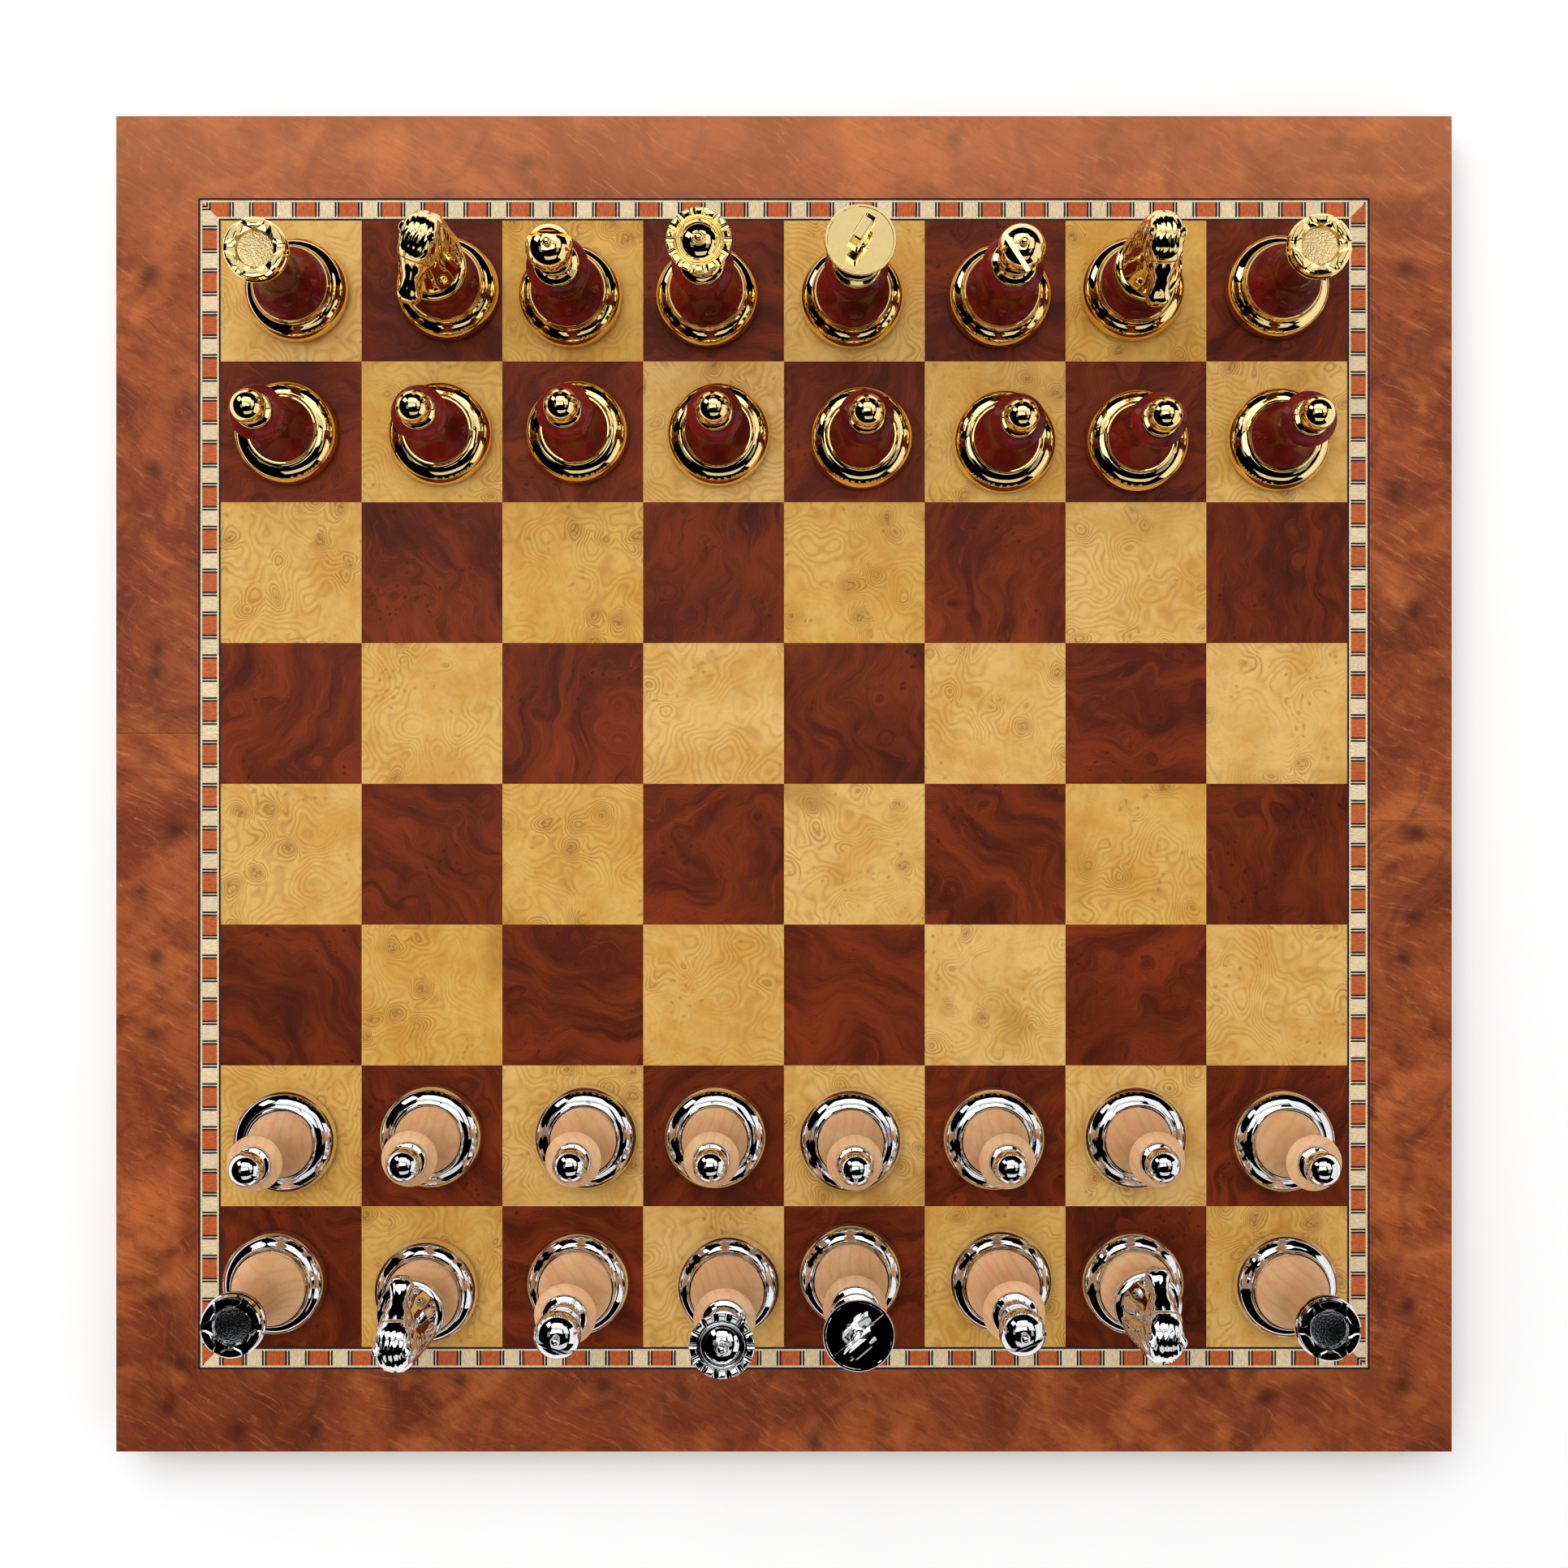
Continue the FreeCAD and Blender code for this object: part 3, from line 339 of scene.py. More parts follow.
def border_wood(name, lift=1.0):
    """Long strips of reddish burl, joined in two places."""
    g = Graph(name)
    p = g.vmath("SCALE", g.coords(), 1000.0)
    px, py, pz = g.split(p)
    # the joints in the left and the right strip: the tone steps there and evens out further on
    left = g.mul(g.math("LESS_THAN", px, -140.0), g.mul(g.math("GREATER_THAN", py, 12.6), g.sub(1.0, g.smooth(py, 12.6, 80.0))))
    right = g.mul(g.math("GREATER_THAN", px, 140.0), g.mul(g.math("LESS_THAN", py, -9.2), g.sub(1.0, g.smooth(g.mul(py, -1.0), 9.2, 80.0))))
    part = g.math("ADD", left, right, clamp=True)
    q = g.join(px, py, g.mul(pz, 0.3))
    qx, qy, qz = g.split(q)
    big = g.noise(q, 0.011, 2.0, 0.5, 0.4)
    mid = g.noise(g.vmath("MULTIPLY", q, (1.0, 1.0, 1.0)), 0.032, 3.0, 0.55, 0.8)
    mott = g.noise(q, 0.16, 4.0, 0.62, 0.6)
    h = g.add(g.mul(big, 120.0), g.mul(mid, 22.0))
    fib = g.noise(g.join(g.mul(h, 0.9), g.mul(g.add(qx, qy), 0.10), 2.0), 1.0, 3.0, 0.6)
    fine = g.noise(g.vmath("MULTIPLY", q, (1.9, 4.2, 1.0)), 1.0, 3.0, 0.7)
    wave = g.mad(g.math("SINE", g.mul(h, 0.42)), 0.5, 0.5)
    flame = g.smooth(g.noise(g.vmath("ADD", q, (300.0, 80.0, 0.0)), 0.024, 3.0, 0.6, 1.2), 0.50, 0.68)
    c = g.mix(g.smooth(mid, 0.34, 0.68), srgb(118, 50, 21), srgb(158, 78, 38))
    c = g.mix(g.mul(flame, 0.62), c, srgb(196, 108, 52))
    c = g.mix(g.mul(g.smooth(g.math("POWER", wave, 9.0), 0.25, 1.0), 0.28), c, srgb(66, 25, 12))
    c = g.mix(g.mul(g.smooth(mott, 0.50, 0.74), 0.42), c, srgb(84, 34, 16))
    c = g.mix(g.mul(g.smooth(fib, 0.5, 0.8), 0.30), c, srgb(190, 104, 56))
    c = g.mix(g.mul(g.smooth(fine, 0.52, 0.82), 0.30), c, srgb(92, 38, 20))
    streak = g.noise(g.vmath("MULTIPLY", g.spin(g.vmath("ADD", q, g.join(g.mul(mid, 14.0), g.mul(big, 30.0), 0.0)), 0.55),
                                (0.13, 0.80, 0.5)), 1.0, 5.0, 0.72, 0.5)
    c = g.mix(g.mul(g.smooth(streak, 0.50, 0.72), 0.50), c, srgb(82, 34, 16))
    c = g.mix(g.mul(g.sub(1.0, g.smooth(streak, 0.30, 0.46)), 0.42), c, srgb(206, 122, 70))
    fleck = g.noise(g.vmath("MULTIPLY", g.spin(q, 0.5), (1.1, 3.4, 1.0)), 1.0, 4.0, 0.75)
    c = g.mix(g.mul(g.smooth(fleck, 0.53, 0.70), 0.38), c, srgb(70, 28, 14))
    c = g.mix(g.mul(part, 0.16), c, srgb(84, 34, 14))
    spots, scol = g.voronoi(g.vmath("ADD", q, g.join(g.mul(mid, 12.0), g.mul(big, 12.0), 0.0)), 0.055, 1.0, "2D")
    sk, s2, s3 = g.split(scol)
    knot = g.mul(g.math("EXPONENT", g.mul(g.mul(spots, spots), -60.0)), g.smooth(sk, 0.55, 0.7))
    c = g.mix(g.mul(knot, 0.7), c, srgb(50, 20, 12))
    # painted light: the border is made lighter towards the far (+y) edge as a painted highlight, and darker towards
    # the near (-y) edge as painted shade
    painted_light_far = g.smooth(py, 120.0, 168.0)
    c = g.mix(g.mul(painted_light_far, 0.34), c, srgb(214, 138, 88))
    painted_shade_near = g.smooth(g.mul(py, -1.0), 100.0, 160.0)
    c = g.mix(g.mul(painted_shade_near, 0.22), c, srgb(84, 34, 12))
    # hairlines at the two joints
    seam1 = g.mul(g.math("LESS_THAN", px, -100.0), g.math("LESS_THAN", g.math("ABSOLUTE", g.sub(py, 12.6)), 0.09))
    seam2 = g.mul(g.math("GREATER_THAN", px, 100.0), g.math("LESS_THAN", g.math("ABSOLUTE", g.add(py, 9.2)), 0.09))
    seam = g.math("ADD", seam1, seam2, clamp=True)
    c = g.mix(g.mul(seam, 0.55), c, srgb(52, 22, 14))
    if lift != 1.0:
        c = g.mix(1.0, c, (lift, lift, lift), "MULTIPLY")
    g.set(Base_Color=c, Roughness=g.mad(fine, 0.10, 0.34), Specular_IOR_Level=0.12,
          Coat_Weight=0.03, Coat_Roughness=0.24, Coat_IOR=1.5)
    g.set(Normal=g.bump(g.add(g.mul(fine, 0.6), g.mul(fib, 0.5)), 0.12, 0.00006))
    return g.mat


def inlay(name, tone_a, tone_b, dark, streak, rough=0.38):
    """Small inlaid strips: the grain runs across the band."""
    g = Graph(name)
    p = g.vmath("SCALE", g.coords(), 1000.0)
    px, py, pz = g.split(p)
    side = g.math("GREATER_THAN", g.math("ABSOLUTE", px), g.math("ABSOLUTE", py))
    along = g.add(g.mul(side, py), g.mul(g.sub(1.0, side), px))
    across = g.add(g.mul(side, px), g.mul(g.sub(1.0, side), py))
    block = g.math("FLOOR", g.mul(along, 1 / 5.33))
    rnd, rc = g.white(g.join(block, g.mad(side, 40.0, g.math("SIGN", across)), 0.5))
    grain = g.noise(g.join(g.mul(along, 5.5), g.mul(across, 0.7), g.mul(rnd, 40.0)), 1.0, 3.0, 0.65)
    pores = g.noise(g.join(g.mul(along, 9.0), g.mul(across, 1.3), g.mad(rnd, 40.0, 9.0)), 1.0, 2.0, 0.6)
    c = g.mix(g.smooth(grain, 0.3, 0.72), tone_a, tone_b)
    c = g.mix(g.mul(g.smooth(pores, 0.56, 0.70), streak), c, dark)
    c = g.mix(1.0, c, g.mix(rnd, (0.93, 0.92, 0.91), (1.05, 1.03, 1.02)), "MULTIPLY")
    g.set(Base_Color=c, Roughness=g.mad(grain, 0.10, rough - 0.05), Specular_IOR_Level=0.06,
          Coat_Weight=0.03, Coat_Roughness=0.24, Coat_IOR=1.5)
    g.set(Normal=g.bump(grain, 0.10, 0.00005))
    return g.mat


def core_wood():
    g = Graph("board_core_wood")
    p = g.vmath("SCALE", g.coords(), 1000.0)
    px, py, pz = g.split(p)
    warp = g.noise(g.vmath("MULTIPLY", p, (0.004, 0.02, 0.02)), 1.0, 2.0, 0.5)
    rings = g.mad(g.math("SINE", g.mad(py, 0.9, g.mul(warp, 60.0))), 0.5, 0.5)
    fib = g.noise(g.join(g.mul(px, 0.07), g.mul(py, 2.4), pz), 1.0, 3.0, 0.65)
    c = g.mix(g.smooth(rings, 0.2, 0.9), srgb(176, 122, 74), srgb(148, 96, 54))
    c = g.mix(g.mul(g.smooth(fib, 0.5, 0.78), 0.5), c, srgb(104, 62, 34))
    g.set(Base_Color=c, Roughness=g.mad(fib, 0.2, 0.5), Specular_IOR_Level=0.4)
    g.set(Normal=g.bump(fib, 0.25, 0.0001))
    return g.mat


# ------------------------------------------------------------------ materials of the men


def plate(name, tone, deep):
    """Polished plated metal with soft casting waves, hair scratches and a little dust."""
    g = Graph(name)
    p = g.vmath("SCALE", g.coords(), 1000.0)
    swirl = g.noise(p, 0.22, 2.0, 0.5)
    hair = g.noise(g.vmath("MULTIPLY", p, (9.0, 0.6, 2.0)), 1.0, 2.0, 0.6, 0.3)
    haze = g.noise(p, 0.9, 3.0, 0.6)
    c = g.mix(g.mul(g.smooth(haze, 0.35, 0.75), 0.5), tone, deep)
    r = g.add(g.mad(g.smooth(hair, 0.55, 0.8), 0.05, 0.035), g.mul(g.smooth(haze, 0.5, 0.8), 0.03))
    g.set(Base_Color=c, Metallic=1.0, Roughness=r)
    b = g.bump(swirl, 0.10, 0.0006)
    g.set(Normal=g.bump(hair, 0.03, 0.00002, b))
    return g.mat


def cast(name, tone, deep, rough=0.14, bite=0.75):
    """Unpolished grainy casting in the cup of a rook."""
    g = Graph(name)
    p = g.vmath("SCALE", g.coords(), 1000.0)
    grit = g.noise(p, 2.6, 3.0, 0.65)
    pits, pc = g.voronoi(p, 1.9, 1.0)
    c = g.mix(g.smooth(grit, 0.35, 0.7), tone, deep)
    g.set(Base_Color=c, Metallic=1.0, Roughness=g.mad(grit, 0.22, rough))
    g.set(Normal=g.bump(g.add(g.mul(grit, 0.7), g.mul(pits, 0.5)), bite, 0.0003))
    return g.mat


def turned_wood(name, light, mid, dark, ring, pitch, rough, coat, coat_rough, pink=None):
    """Spindle-turned wood: fibres along the man's axis, growth rings from a centre off to one side."""
    g = Graph(name)
    p = g.vmath("SCALE", g.coords(), 1000.0)
    px, py, pz = g.split(p)
    ix = g.math("FLOOR", g.mul(g.add(px, 140.0), 1 / 35.0))
    iy = g.math("FLOOR", g.mul(g.add(py, 140.0), 1 / 35.0))
    rnd, rcol = g.white(g.join(ix, iy, 7.5))
    r1, r2, r3 = g.split(rcol)
    lx = g.sub(g.sub(px, g.mul(ix, 35.0)), -122.5)
    ly = g.sub(g.sub(py, g.mul(iy, 35.0)), -122.5)
    q = g.spin(g.join(lx, ly, pz), g.mul(r1, 6.2832))
    qx, qy, qz = g.split(q)
    big = g.noise(g.join(g.mad(rnd, 90.0, g.mul(qx, 0.05)), g.mul(qy, 0.05), g.mul(pz, 0.022)), 1.0, 2.0, 0.5)
    cx = g.add(qx, g.mad(r2, 22.0, 14.0))
    rad = g.math("SQRT", g.add(g.mul(cx, cx), g.mul(qy, qy)))
    h = g.add(g.mad(big, 9.0, rad), g.mul(pz, g.mad(r3, 0.16, -0.08)))
    rings = g.mad(g.math("SINE", g.mul(h, 6.2832 / pitch)), 0.5, 0.5)
    fib = g.noise(g.join(g.mad(rnd, 50.0, g.mul(qx, 3.4)), g.mul(qy, 3.4), g.mul(pz, 0.22)), 1.0, 3.0, 0.65)
    cloud = g.noise(g.join(g.mad(rnd, 70.0, g.mul(qx, 0.12)), g.mul(qy, 0.12), g.mul(pz, 0.05)), 1.0, 2.0, 0.5)
    c = g.mix(g.smooth(cloud, 0.32, 0.70), light, mid)
    c = g.mix(g.mul(g.math("POWER", rings, 4.0), ring), c, dark)
    c = g.mix(g.mul(g.smooth(fib, 0.48, 0.80), 0.40), c, dark)
    if pink is not None:
        c = g.mix(g.mul(g.smooth(g.noise(g.join(g.mul(qx, 0.30), g.mul(qy, 0.30), g.mul(pz, 0.05)), 1.0, 2.0, 0.5), 0.50, 0.64), 0.45), c, pink)
    c = g.mix(1.0, c, g.mix(rnd, (0.92, 0.91, 0.90), (1.06, 1.04, 1.03)), "MULTIPLY")
    g.set(Base_Color=c, Roughness=g.mad(fib, 0.12, rough - 0.06), Specular_IOR_Level=0.10 if pink is None else 0.35,
          Coat_Weight=coat, Coat_Roughness=coat_rough, Coat_IOR=1.5)
    g.set(Normal=g.bump(fib, 0.06, 0.00006))
    return g.mat


def felt_cloth():
    g = Graph("felt_green")
    p = g.vmath("SCALE", g.coords(), 1000.0)
    fuzz = g.noise(p, 3.2, 4.0, 0.7, 0.6)
    clump = g.noise(p, 0.6, 2.0, 0.6)
    c = g.mix(g.smooth(fuzz, 0.3, 0.72), srgb(18, 52, 34), srgb(38, 84, 56))
    c = g.mix(g.mul(clump, 0.35), c, srgb(12, 36, 24))
    g.set(Base_Color=c, Roughness=0.96, Specular_IOR_Level=0.15, Sheen_Weight=0.3, Sheen_Roughness=0.5)
    g.set(Normal=g.bump(fuzz, 0.7, 0.0003))
    return g.mat


M = {
    "light": veneer_square("light_burl_veneer", srgb(222, 182, 112), srgb(206, 154, 72), srgb(158, 106, 46), True),
    "dark": veneer_square("dark_burl_veneer", srgb(88, 36, 20), srgb(132, 60, 30), srgb(60, 24, 15), False),
    "border": border_wood("border_burl_veneer"),
    "edge": border_wood("edge_lipping_veneer", 0.9),
    "pale": inlay("pale_inlay_wood", srgb(232, 214, 180), srgb(208, 184, 144), srgb(140, 106, 68), 0.55),
    "red": inlay("red_inlay_wood", srgb(198, 104, 58), srgb(170, 78, 40), srgb(112, 46, 22), 0.75),
    "black": inlay("black_inlay_wood", srgb(46, 42, 46), srgb(26, 22, 26), srgb(12, 10, 12), 0.4, 0.42),
    "core": core_wood(),
    "gold": plate("gold_plate_polished", (1.0, 0.78, 0.36), (0.96, 0.70, 0.27)),
    "silver": plate("silver_plate_polished", (0.88, 0.885, 0.90), (0.80, 0.805, 0.82)),
    "gold_cast": cast("gold_plate_cast", (0.93, 0.74, 0.38), (0.86, 0.62, 0.26)),
    "silver_cast": cast("silver_plate_cast", (0.60, 0.61, 0.63), (0.42, 0.43, 0.45), 0.05, 0.22),
    "mahogany": turned_wood("red_mahogany_gloss", srgb(120, 22, 10), srgb(84, 11, 6), srgb(46, 5, 4), 0.22, 3.1,
                            0.46, 0.30, 0.07),
    "maple": turned_wood("maple_satin", srgb(226, 182, 134), srgb(216, 166, 116), srgb(178, 118, 70), 0.20, 2.3,
                         0.40, 0.35, 0.25, srgb(222, 150, 112)),
    "felt": felt_cloth(),
}

# ------------------------------------------------------------------ which solid is which


def solids_of(obj):
    """Label every polygon of a CAD mesh with its solid; returns (labels, [(z low, z high, widest radius)])."""
    me = obj.data
    nv = len(me.vertices)
    co = np.empty(nv * 3, np.float32)
    me.vertices.foreach_get("co", co)
    co = co.reshape(-1, 3)
    key = np.round(co.astype(np.float64) * 2e6).astype(np.int64)
    uniq, inv = np.unique(key, axis=0, return_inverse=True)
    inv = inv.reshape(-1)
    np_ = len(me.polygons)
    start = np.empty(np_, np.int32)
    total = np.empty(np_, np.int32)
    me.polygons.foreach_get("loop_start", start)
    me.polygons.foreach_get("loop_total", total)
    loops = np.empty(len(me.loops), np.int32)
    me.loops.foreach_get("vertex_index", loops)
    lab = np.arange(len(uniq))
    poly_of = np.repeat(np.arange(np_), total)
    lv = inv[loops]
    while True:
        low = np.full(np_, len(uniq), np.int64)
        np.minimum.at(low, poly_of, lab[lv])
        new = lab.copy()
        np.minimum.at(new, lv, low[poly_of])
        new = new[new]
        if np.array_equal(new, lab):
            break
        lab = new
    pl = lab[lv[start]]
    names, idx = np.unique(pl, return_inverse=True)
    idx = idx.reshape(-1)
    boxes = []
    mid = (co.min(0) + co.max(0)) / 2
    for k in range(len(names)):
        vs = co[loops[np.isin(poly_of, np.nonzero(idx == k)[0])]]
        rad = np.hypot(vs[:, 0] - mid[0], vs[:, 1] - mid[1]).max()
        boxes.append((float(vs[:, 2].min()), float(vs[:, 2].max()), float(rad)))
    return idx, boxes


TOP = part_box("board_core")[1].z + 0.0006      # the playing surface


def kind_of(box, is_knight=False):
    low, high, rad = box[0] - TOP, box[1] - TOP, box[2]
    if high < 0.0012:
        return "felt"
    if high < 0.0100 and rad > 0.0120:
        return "base"
    if low < 0.0012:
        return "wood"
    return "head"


def side_of(name):
    return ("gold", "mahogany", "gold_cast") if name.startswith("black") else ("silver", "maple", "silver_cast")


def polygons(me):
    n = len(me.polygons)
    c = np.empty(n * 3, np.float32)
    me.polygons.foreach_get("center", c)
    nn = np.empty(n * 3, np.float32)
    me.polygons.foreach_get("normal", nn)
    return c.reshape(-1, 3), nn.reshape(-1, 3)


BOARD = {"board_core": "core", "edge_lipping": "edge", "border_veneer": "border", "dark_squares": "dark",
         "light_squares": "light", "banding_pale_strips": "pale", "banding_red_blocks": "red",
         "banding_dark_lines": "black"}

KNIGHTS = []
for name, obj in NODES.items():
    me = obj.data
    if name in BOARD:
        me.materials.clear()
        me.materials.append(M[BOARD[name]])
        continue
    metal, wood, grainy = side_of(name)
    if "knight" in name and name.endswith("_metal"):
        KNIGHTS.append(name)
    me.materials.clear()
    for key in (metal, wood, "felt", grainy):
        me.materials.append(M[key])
    if name.endswith("_wood") or name.endswith("_body"):
        me.polygons.foreach_set("material_index", np.full(len(me.polygons), 1, np.int32))
    elif name.endswith("_crown"):
        me.polygons.foreach_set("material_index", np.zeros(len(me.polygons), np.int32))
    else:
        idx, boxes = solids_of(obj)
        slot = np.array([{"felt": 2, "base": 0, "wood": 1, "head": 0}[kind_of(b)] for b in boxes], np.int32)[idx]
        if "rook" in name:
            c, nn = polygons(me)
            mid = (np.array(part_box(name)[0]) + np.array(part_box(name)[1])) / 2
            rad = np.hypot(c[:, 0] - mid[0], c[:, 1] - mid[1])
            floor = (np.abs(c[:, 2] - TOP - 0.0406) < 0.0002) & (nn[:, 2] > 0.9) & (rad < 0.0045)
            slot[floor] = 3
        me.polygons.foreach_set("material_index", slot.astype(np.int32))
    me.update()

# ------------------------------------------------------------------ the cast horses
# Local millimetres: x the way the horse faces, y across, z above the playing surface.


def along(rows, k=6):
    """Smooth curve through rows of numbers (Catmull-Rom)."""
    r = np.array(rows, float)
    r = np.vstack([2 * r[0] - r[1], r, 2 * r[-1] - r[-2]])
    out = []
    for i in range(1, len(r) - 2):
        a, b, c, d = r[i - 1], r[i], r[i + 1], r[i + 2]
        for t in np.arange(k) / k:
            out.append(0.5 * (2 * b + (c - a) * t + (2 * a - 5 * b + 4 * c - d) * t * t + (3 * b - a - 3 * c + d) * t ** 3))
    out.append(r[-2])
    return np.array(out)


def tube(rows, square=2.0, n=28, k=6):
    """Closed tube. rows: (x, y, z, half depth, half width); width runs across the horse."""
    r = along(rows, k)
    p = r[:, :3]
    tan = np.gradient(p, axis=0)
    tan /= np.linalg.norm(tan, axis=1)[:, None]
    verts, faces = [], []
    ang = np.arange(n) * 2 * math.pi / n
    ca, sa = np.cos(ang), np.sin(ang)
    ca = np.sign(ca) * np.abs(ca) ** (2.0 / square)
    sa = np.sign(sa) * np.abs(sa) ** (2.0 / square)
    for i in range(len(p)):
        side = np.array([0.0, 1.0, 0.0])
        side = side - tan[i] * side.dot(tan[i])
        if np.linalg.norm(side) < 0.2:
            side = np.array([1.0, 0.0, 0.0]) - tan[i] * tan[i][0]
        side /= np.linalg.norm(side)
        up = np.cross(tan[i], side)
        verts.append(p[i] + np.outer(ca * max(r[i, 4], 0.04), side) + np.outer(sa * max(r[i, 3], 0.04), up))
    v = np.vstack(verts)
    m = len(p)
    for i in range(m - 1):
        for j in range(n):
            a, b = i * n + j, i * n + (j + 1) % n
            faces.append((a, b, b + n, a + n))
    faces.append(tuple(range(n))[::-1])
    faces.append(tuple(range((m - 1) * n, m * n)))
    return v, faces


def egg(at, radii, lean=0.0):
    """Closed ellipsoid as a short tube, leaned about the y axis."""
    n, m = 20, 12
    verts = []
    for i in range(m + 1):
        th = math.pi * (i + 0.15) / (m + 0.3)
        for j in range(n):
            ph = 2 * math.pi * j / n
            x, y, z = math.sin(th) * math.cos(ph) * radii[0], math.sin(th) * math.sin(ph) * radii[1], math.cos(th) * radii[2]
            c, s = math.cos(lean), math.sin(lean)
            verts.append((at[0] + c * x + s * z, at[1] + y, at[2] - s * x + c * z))
    faces = []
    for i in range(m):
        for j in range(n):
            a, b = i * n + j, i * n + (j + 1) % n
            faces.append((a, a + n, b + n, b))
    faces.append(tuple(range(n)))
    faces.append(tuple(range(m * n, (m + 1) * n))[::-1])
    return np.array(verts), faces


def mesh_of(parts):
    verts, faces, base = [], [], 0
    for v, f in parts:
        verts.append(v)
        faces += [tuple(i + base for i in q) for q in f]
        base += len(v)
    return np.vstack(verts), faces


NECK = [(-0.2, 0, 23.4, 6.9, 7.1), (-0.5, 0, 26.0, 6.1, 6.7), (-1.0, 0, 29.5, 5.0, 6.0), (-1.7, 0, 34.0, 4.2, 5.6),
        (-2.2, 0, 38.5, 3.9, 5.1), (-2.3, 0, 42.0, 3.7, 4.4), (-1.9, 0, 44.6, 2.9, 3.2)]


def neck_at(z):
    r = np.array(NECK)
    return [float(np.interp(z, r[:, 2], r[:, i])) for i in (0, 4, 3)]      # centre x, half length, half width


def horse_mesh():
    d = np.array([0.8174, 0.0, -0.5760])           # along the face, poll to muzzle
    n = np.array([0.5760, 0.0, 0.8174])            # out of the bridge of the nose
    poll = np.array([-3.8, 0.0, 43.8])

    def face(s, up, y):
        q = poll + d * s + n * up
        return (float(q[0]), y, float(q[2]))
    parts = []
    # the tube's depth axis lies along x here, its width axis along y
    parts.append(tube([(r[0], 0, r[2], r[4], r[3]) for r in NECK]))
    # skull and nose
    head = [(0.0, -0.3, 2.3, 2.7), (1.6, 0.0, 3.3, 3.6), (4.0, 0.0, 4.0, 4.1), (7.0, -0.3, 4.2, 4.1), (9.6, -0.1, 3.5, 3.1),
            (12.0, 0.0, 2.85, 2.4), (14.2, 0.0, 2.6, 2.4), (16.2, 0.0, 2.6, 2.85), (17.5, -0.3, 2.2, 2.6), (18.4, -0.6, 1.3, 1.7)]
    parts.append(tube([face(s, up, 0.0) + (a, b) for s, up, a, b in head], 2.9))
    for s in (1, -1):
        parts.append(egg(face(6.6, -2.0, 2.1 * s), (3.3, 2.05, 3.0), 0.6))         # jowl
        parts.append(tube([face(3.4, 2.6, 3.1 * s) + (0.5, 0.5), face(5.4, 2.5, 3.5 * s) + (0.7, 0.65),
                           face(7.8, 2.0, 3.1 * s) + (0.6, 0.55), face(10.2, 1.5, 2.6 * s) + (0.25, 0.25)], 2, 14))   # brow
        parts.append(egg(face(6.3, 1.5, 3.55 * s), (0.95, 0.75, 0.95)))            # eyeball
        parts.append(tube([face(8.6, -0.6, 3.1 * s) + (0.55, 0.4), face(11.4, -0.2, 2.3 * s) + (0.45, 0.35),
                           face(14.0, 0.3, 2.0 * s) + (0.25, 0.2)], 2, 12))        # cheekbone
        parts.append(tube([face(14.9, 1.0, 1.7 * s) + (0.4, 0.4), face(16.0, 1.5, 2.1 * s) + (0.62, 0.6),
                           face(17.2, 1.0, 2.05 * s) + (0.6, 0.5), face(17.9, 0.2, 1.6 * s) + (0.3, 0.3)], 2, 14))    # nostril rim
        # ear: a small leaf lying back at the side of the poll
        parts.append(tube([(0.2, 3.2 * s, 44.4, 0.5, 0.5), (-0.9, 3.5 * s, 45.7, 0.75, 1.05), (-2.1, 3.6 * s, 46.8, 0.6, 0.95),
                           (-3.3, 3.4 * s, 47.7, 0.2, 0.25)], 2, 16))
    parts.append(tube([face(16.2, -2.2, 0) + (0.8, 1.5), face(17.4, -2.0, 0) + (0.75, 1.55), face(18.2, -1.6, 0) + (0.4, 1.0)], 2, 16))
    # smooth rounded poll that the forelock is combed over
    parts.append(tube([(-5.8, 0, 41.5, 2.0, 2.9), (-4.6, 0, 44.2, 2.0, 3.7), (-2.0, 0, 45.2, 2.0, 3.95), (1.0, 0, 44.6, 1.7, 3.8),
                       (3.4, 0, 42.8, 1.1, 3.2)], 2.3))
    # crest and the locks that fan down both sides of the neck
    parts.append(tube([(-6.2, 0, 26.5, 1.3, 1.5), (-6.9, 0, 31.0, 1.5, 1.7), (-7.0, 0, 36.0, 1.6, 1.9), (-6.5, 0, 40.5, 1.7, 2.2),
                       (-4.9, 0, 44.4, 1.7, 2.4), (-2.6, 0, 45.9, 1.1, 2.2)]))
    for s in (1, -1):
        for i in range(6):
            z0 = 45.0 - 3.1 * i
            fall = 9.5 - 0.35 * i
            spread = 78 - 3.0 * i
            rows = []
            for t, w in ((0, 0.9), (0.22, 1.4), (0.5, 1.3), (0.78, 0.8), (1.0, 0.2)):
                z = max(z0 - fall * t ** 1.15, 24.7)
                xc, a, b = neck_at(z)
                th = math.radians(176 - spread * t ** 0.85 + 7 * math.sin(5.5 * t + i))
                out = 0.25 + 0.35 * math.sin(math.pi * min(t * 1.1, 1))
                rows.append((xc + (a + out) * math.cos(th), s * (b + out) * math.sin(th), z, w, w * 0.8))
            parts.append(tube(rows, 2, 16))
    v, f = mesh_of(parts)
    me = bpy.data.meshes.new("horse_raw")
    me.from_pydata([tuple(q) for q in v], [], f)
    me.update()
    ob = bpy.data.objects.new("horse_raw", me)
    scene.collection.objects.link(ob)
    m = ob.modifiers.new("skin", "REMESH")
    m.mode = "VOXEL"
    m.voxel_size = 0.26
    m = ob.modifiers.new("ease", "SMOOTH")
    m.factor = 0.5
    m.iterations = 4
    dg = bpy.context.evaluated_depsgraph_get()
    done = bpy.data.meshes.new_from_object(ob.evaluated_get(dg), depsgraph=dg)
    bpy.data.objects.remove(ob)
    cnt = len(done.vertices)
    co = np.empty(cnt * 3, np.float32)
    no = np.empty(cnt * 3, np.float32)
    done.vertices.foreach_get("co", co)
    done.vertices.foreach_get("normal", no)
    co = co.reshape(-1, 3).astype(float)
    no = no.reshape(-1, 3).astype(float)
    rel = co - poll
    s_, u_, y_ = rel @ d, rel @ n, co[:, 1]

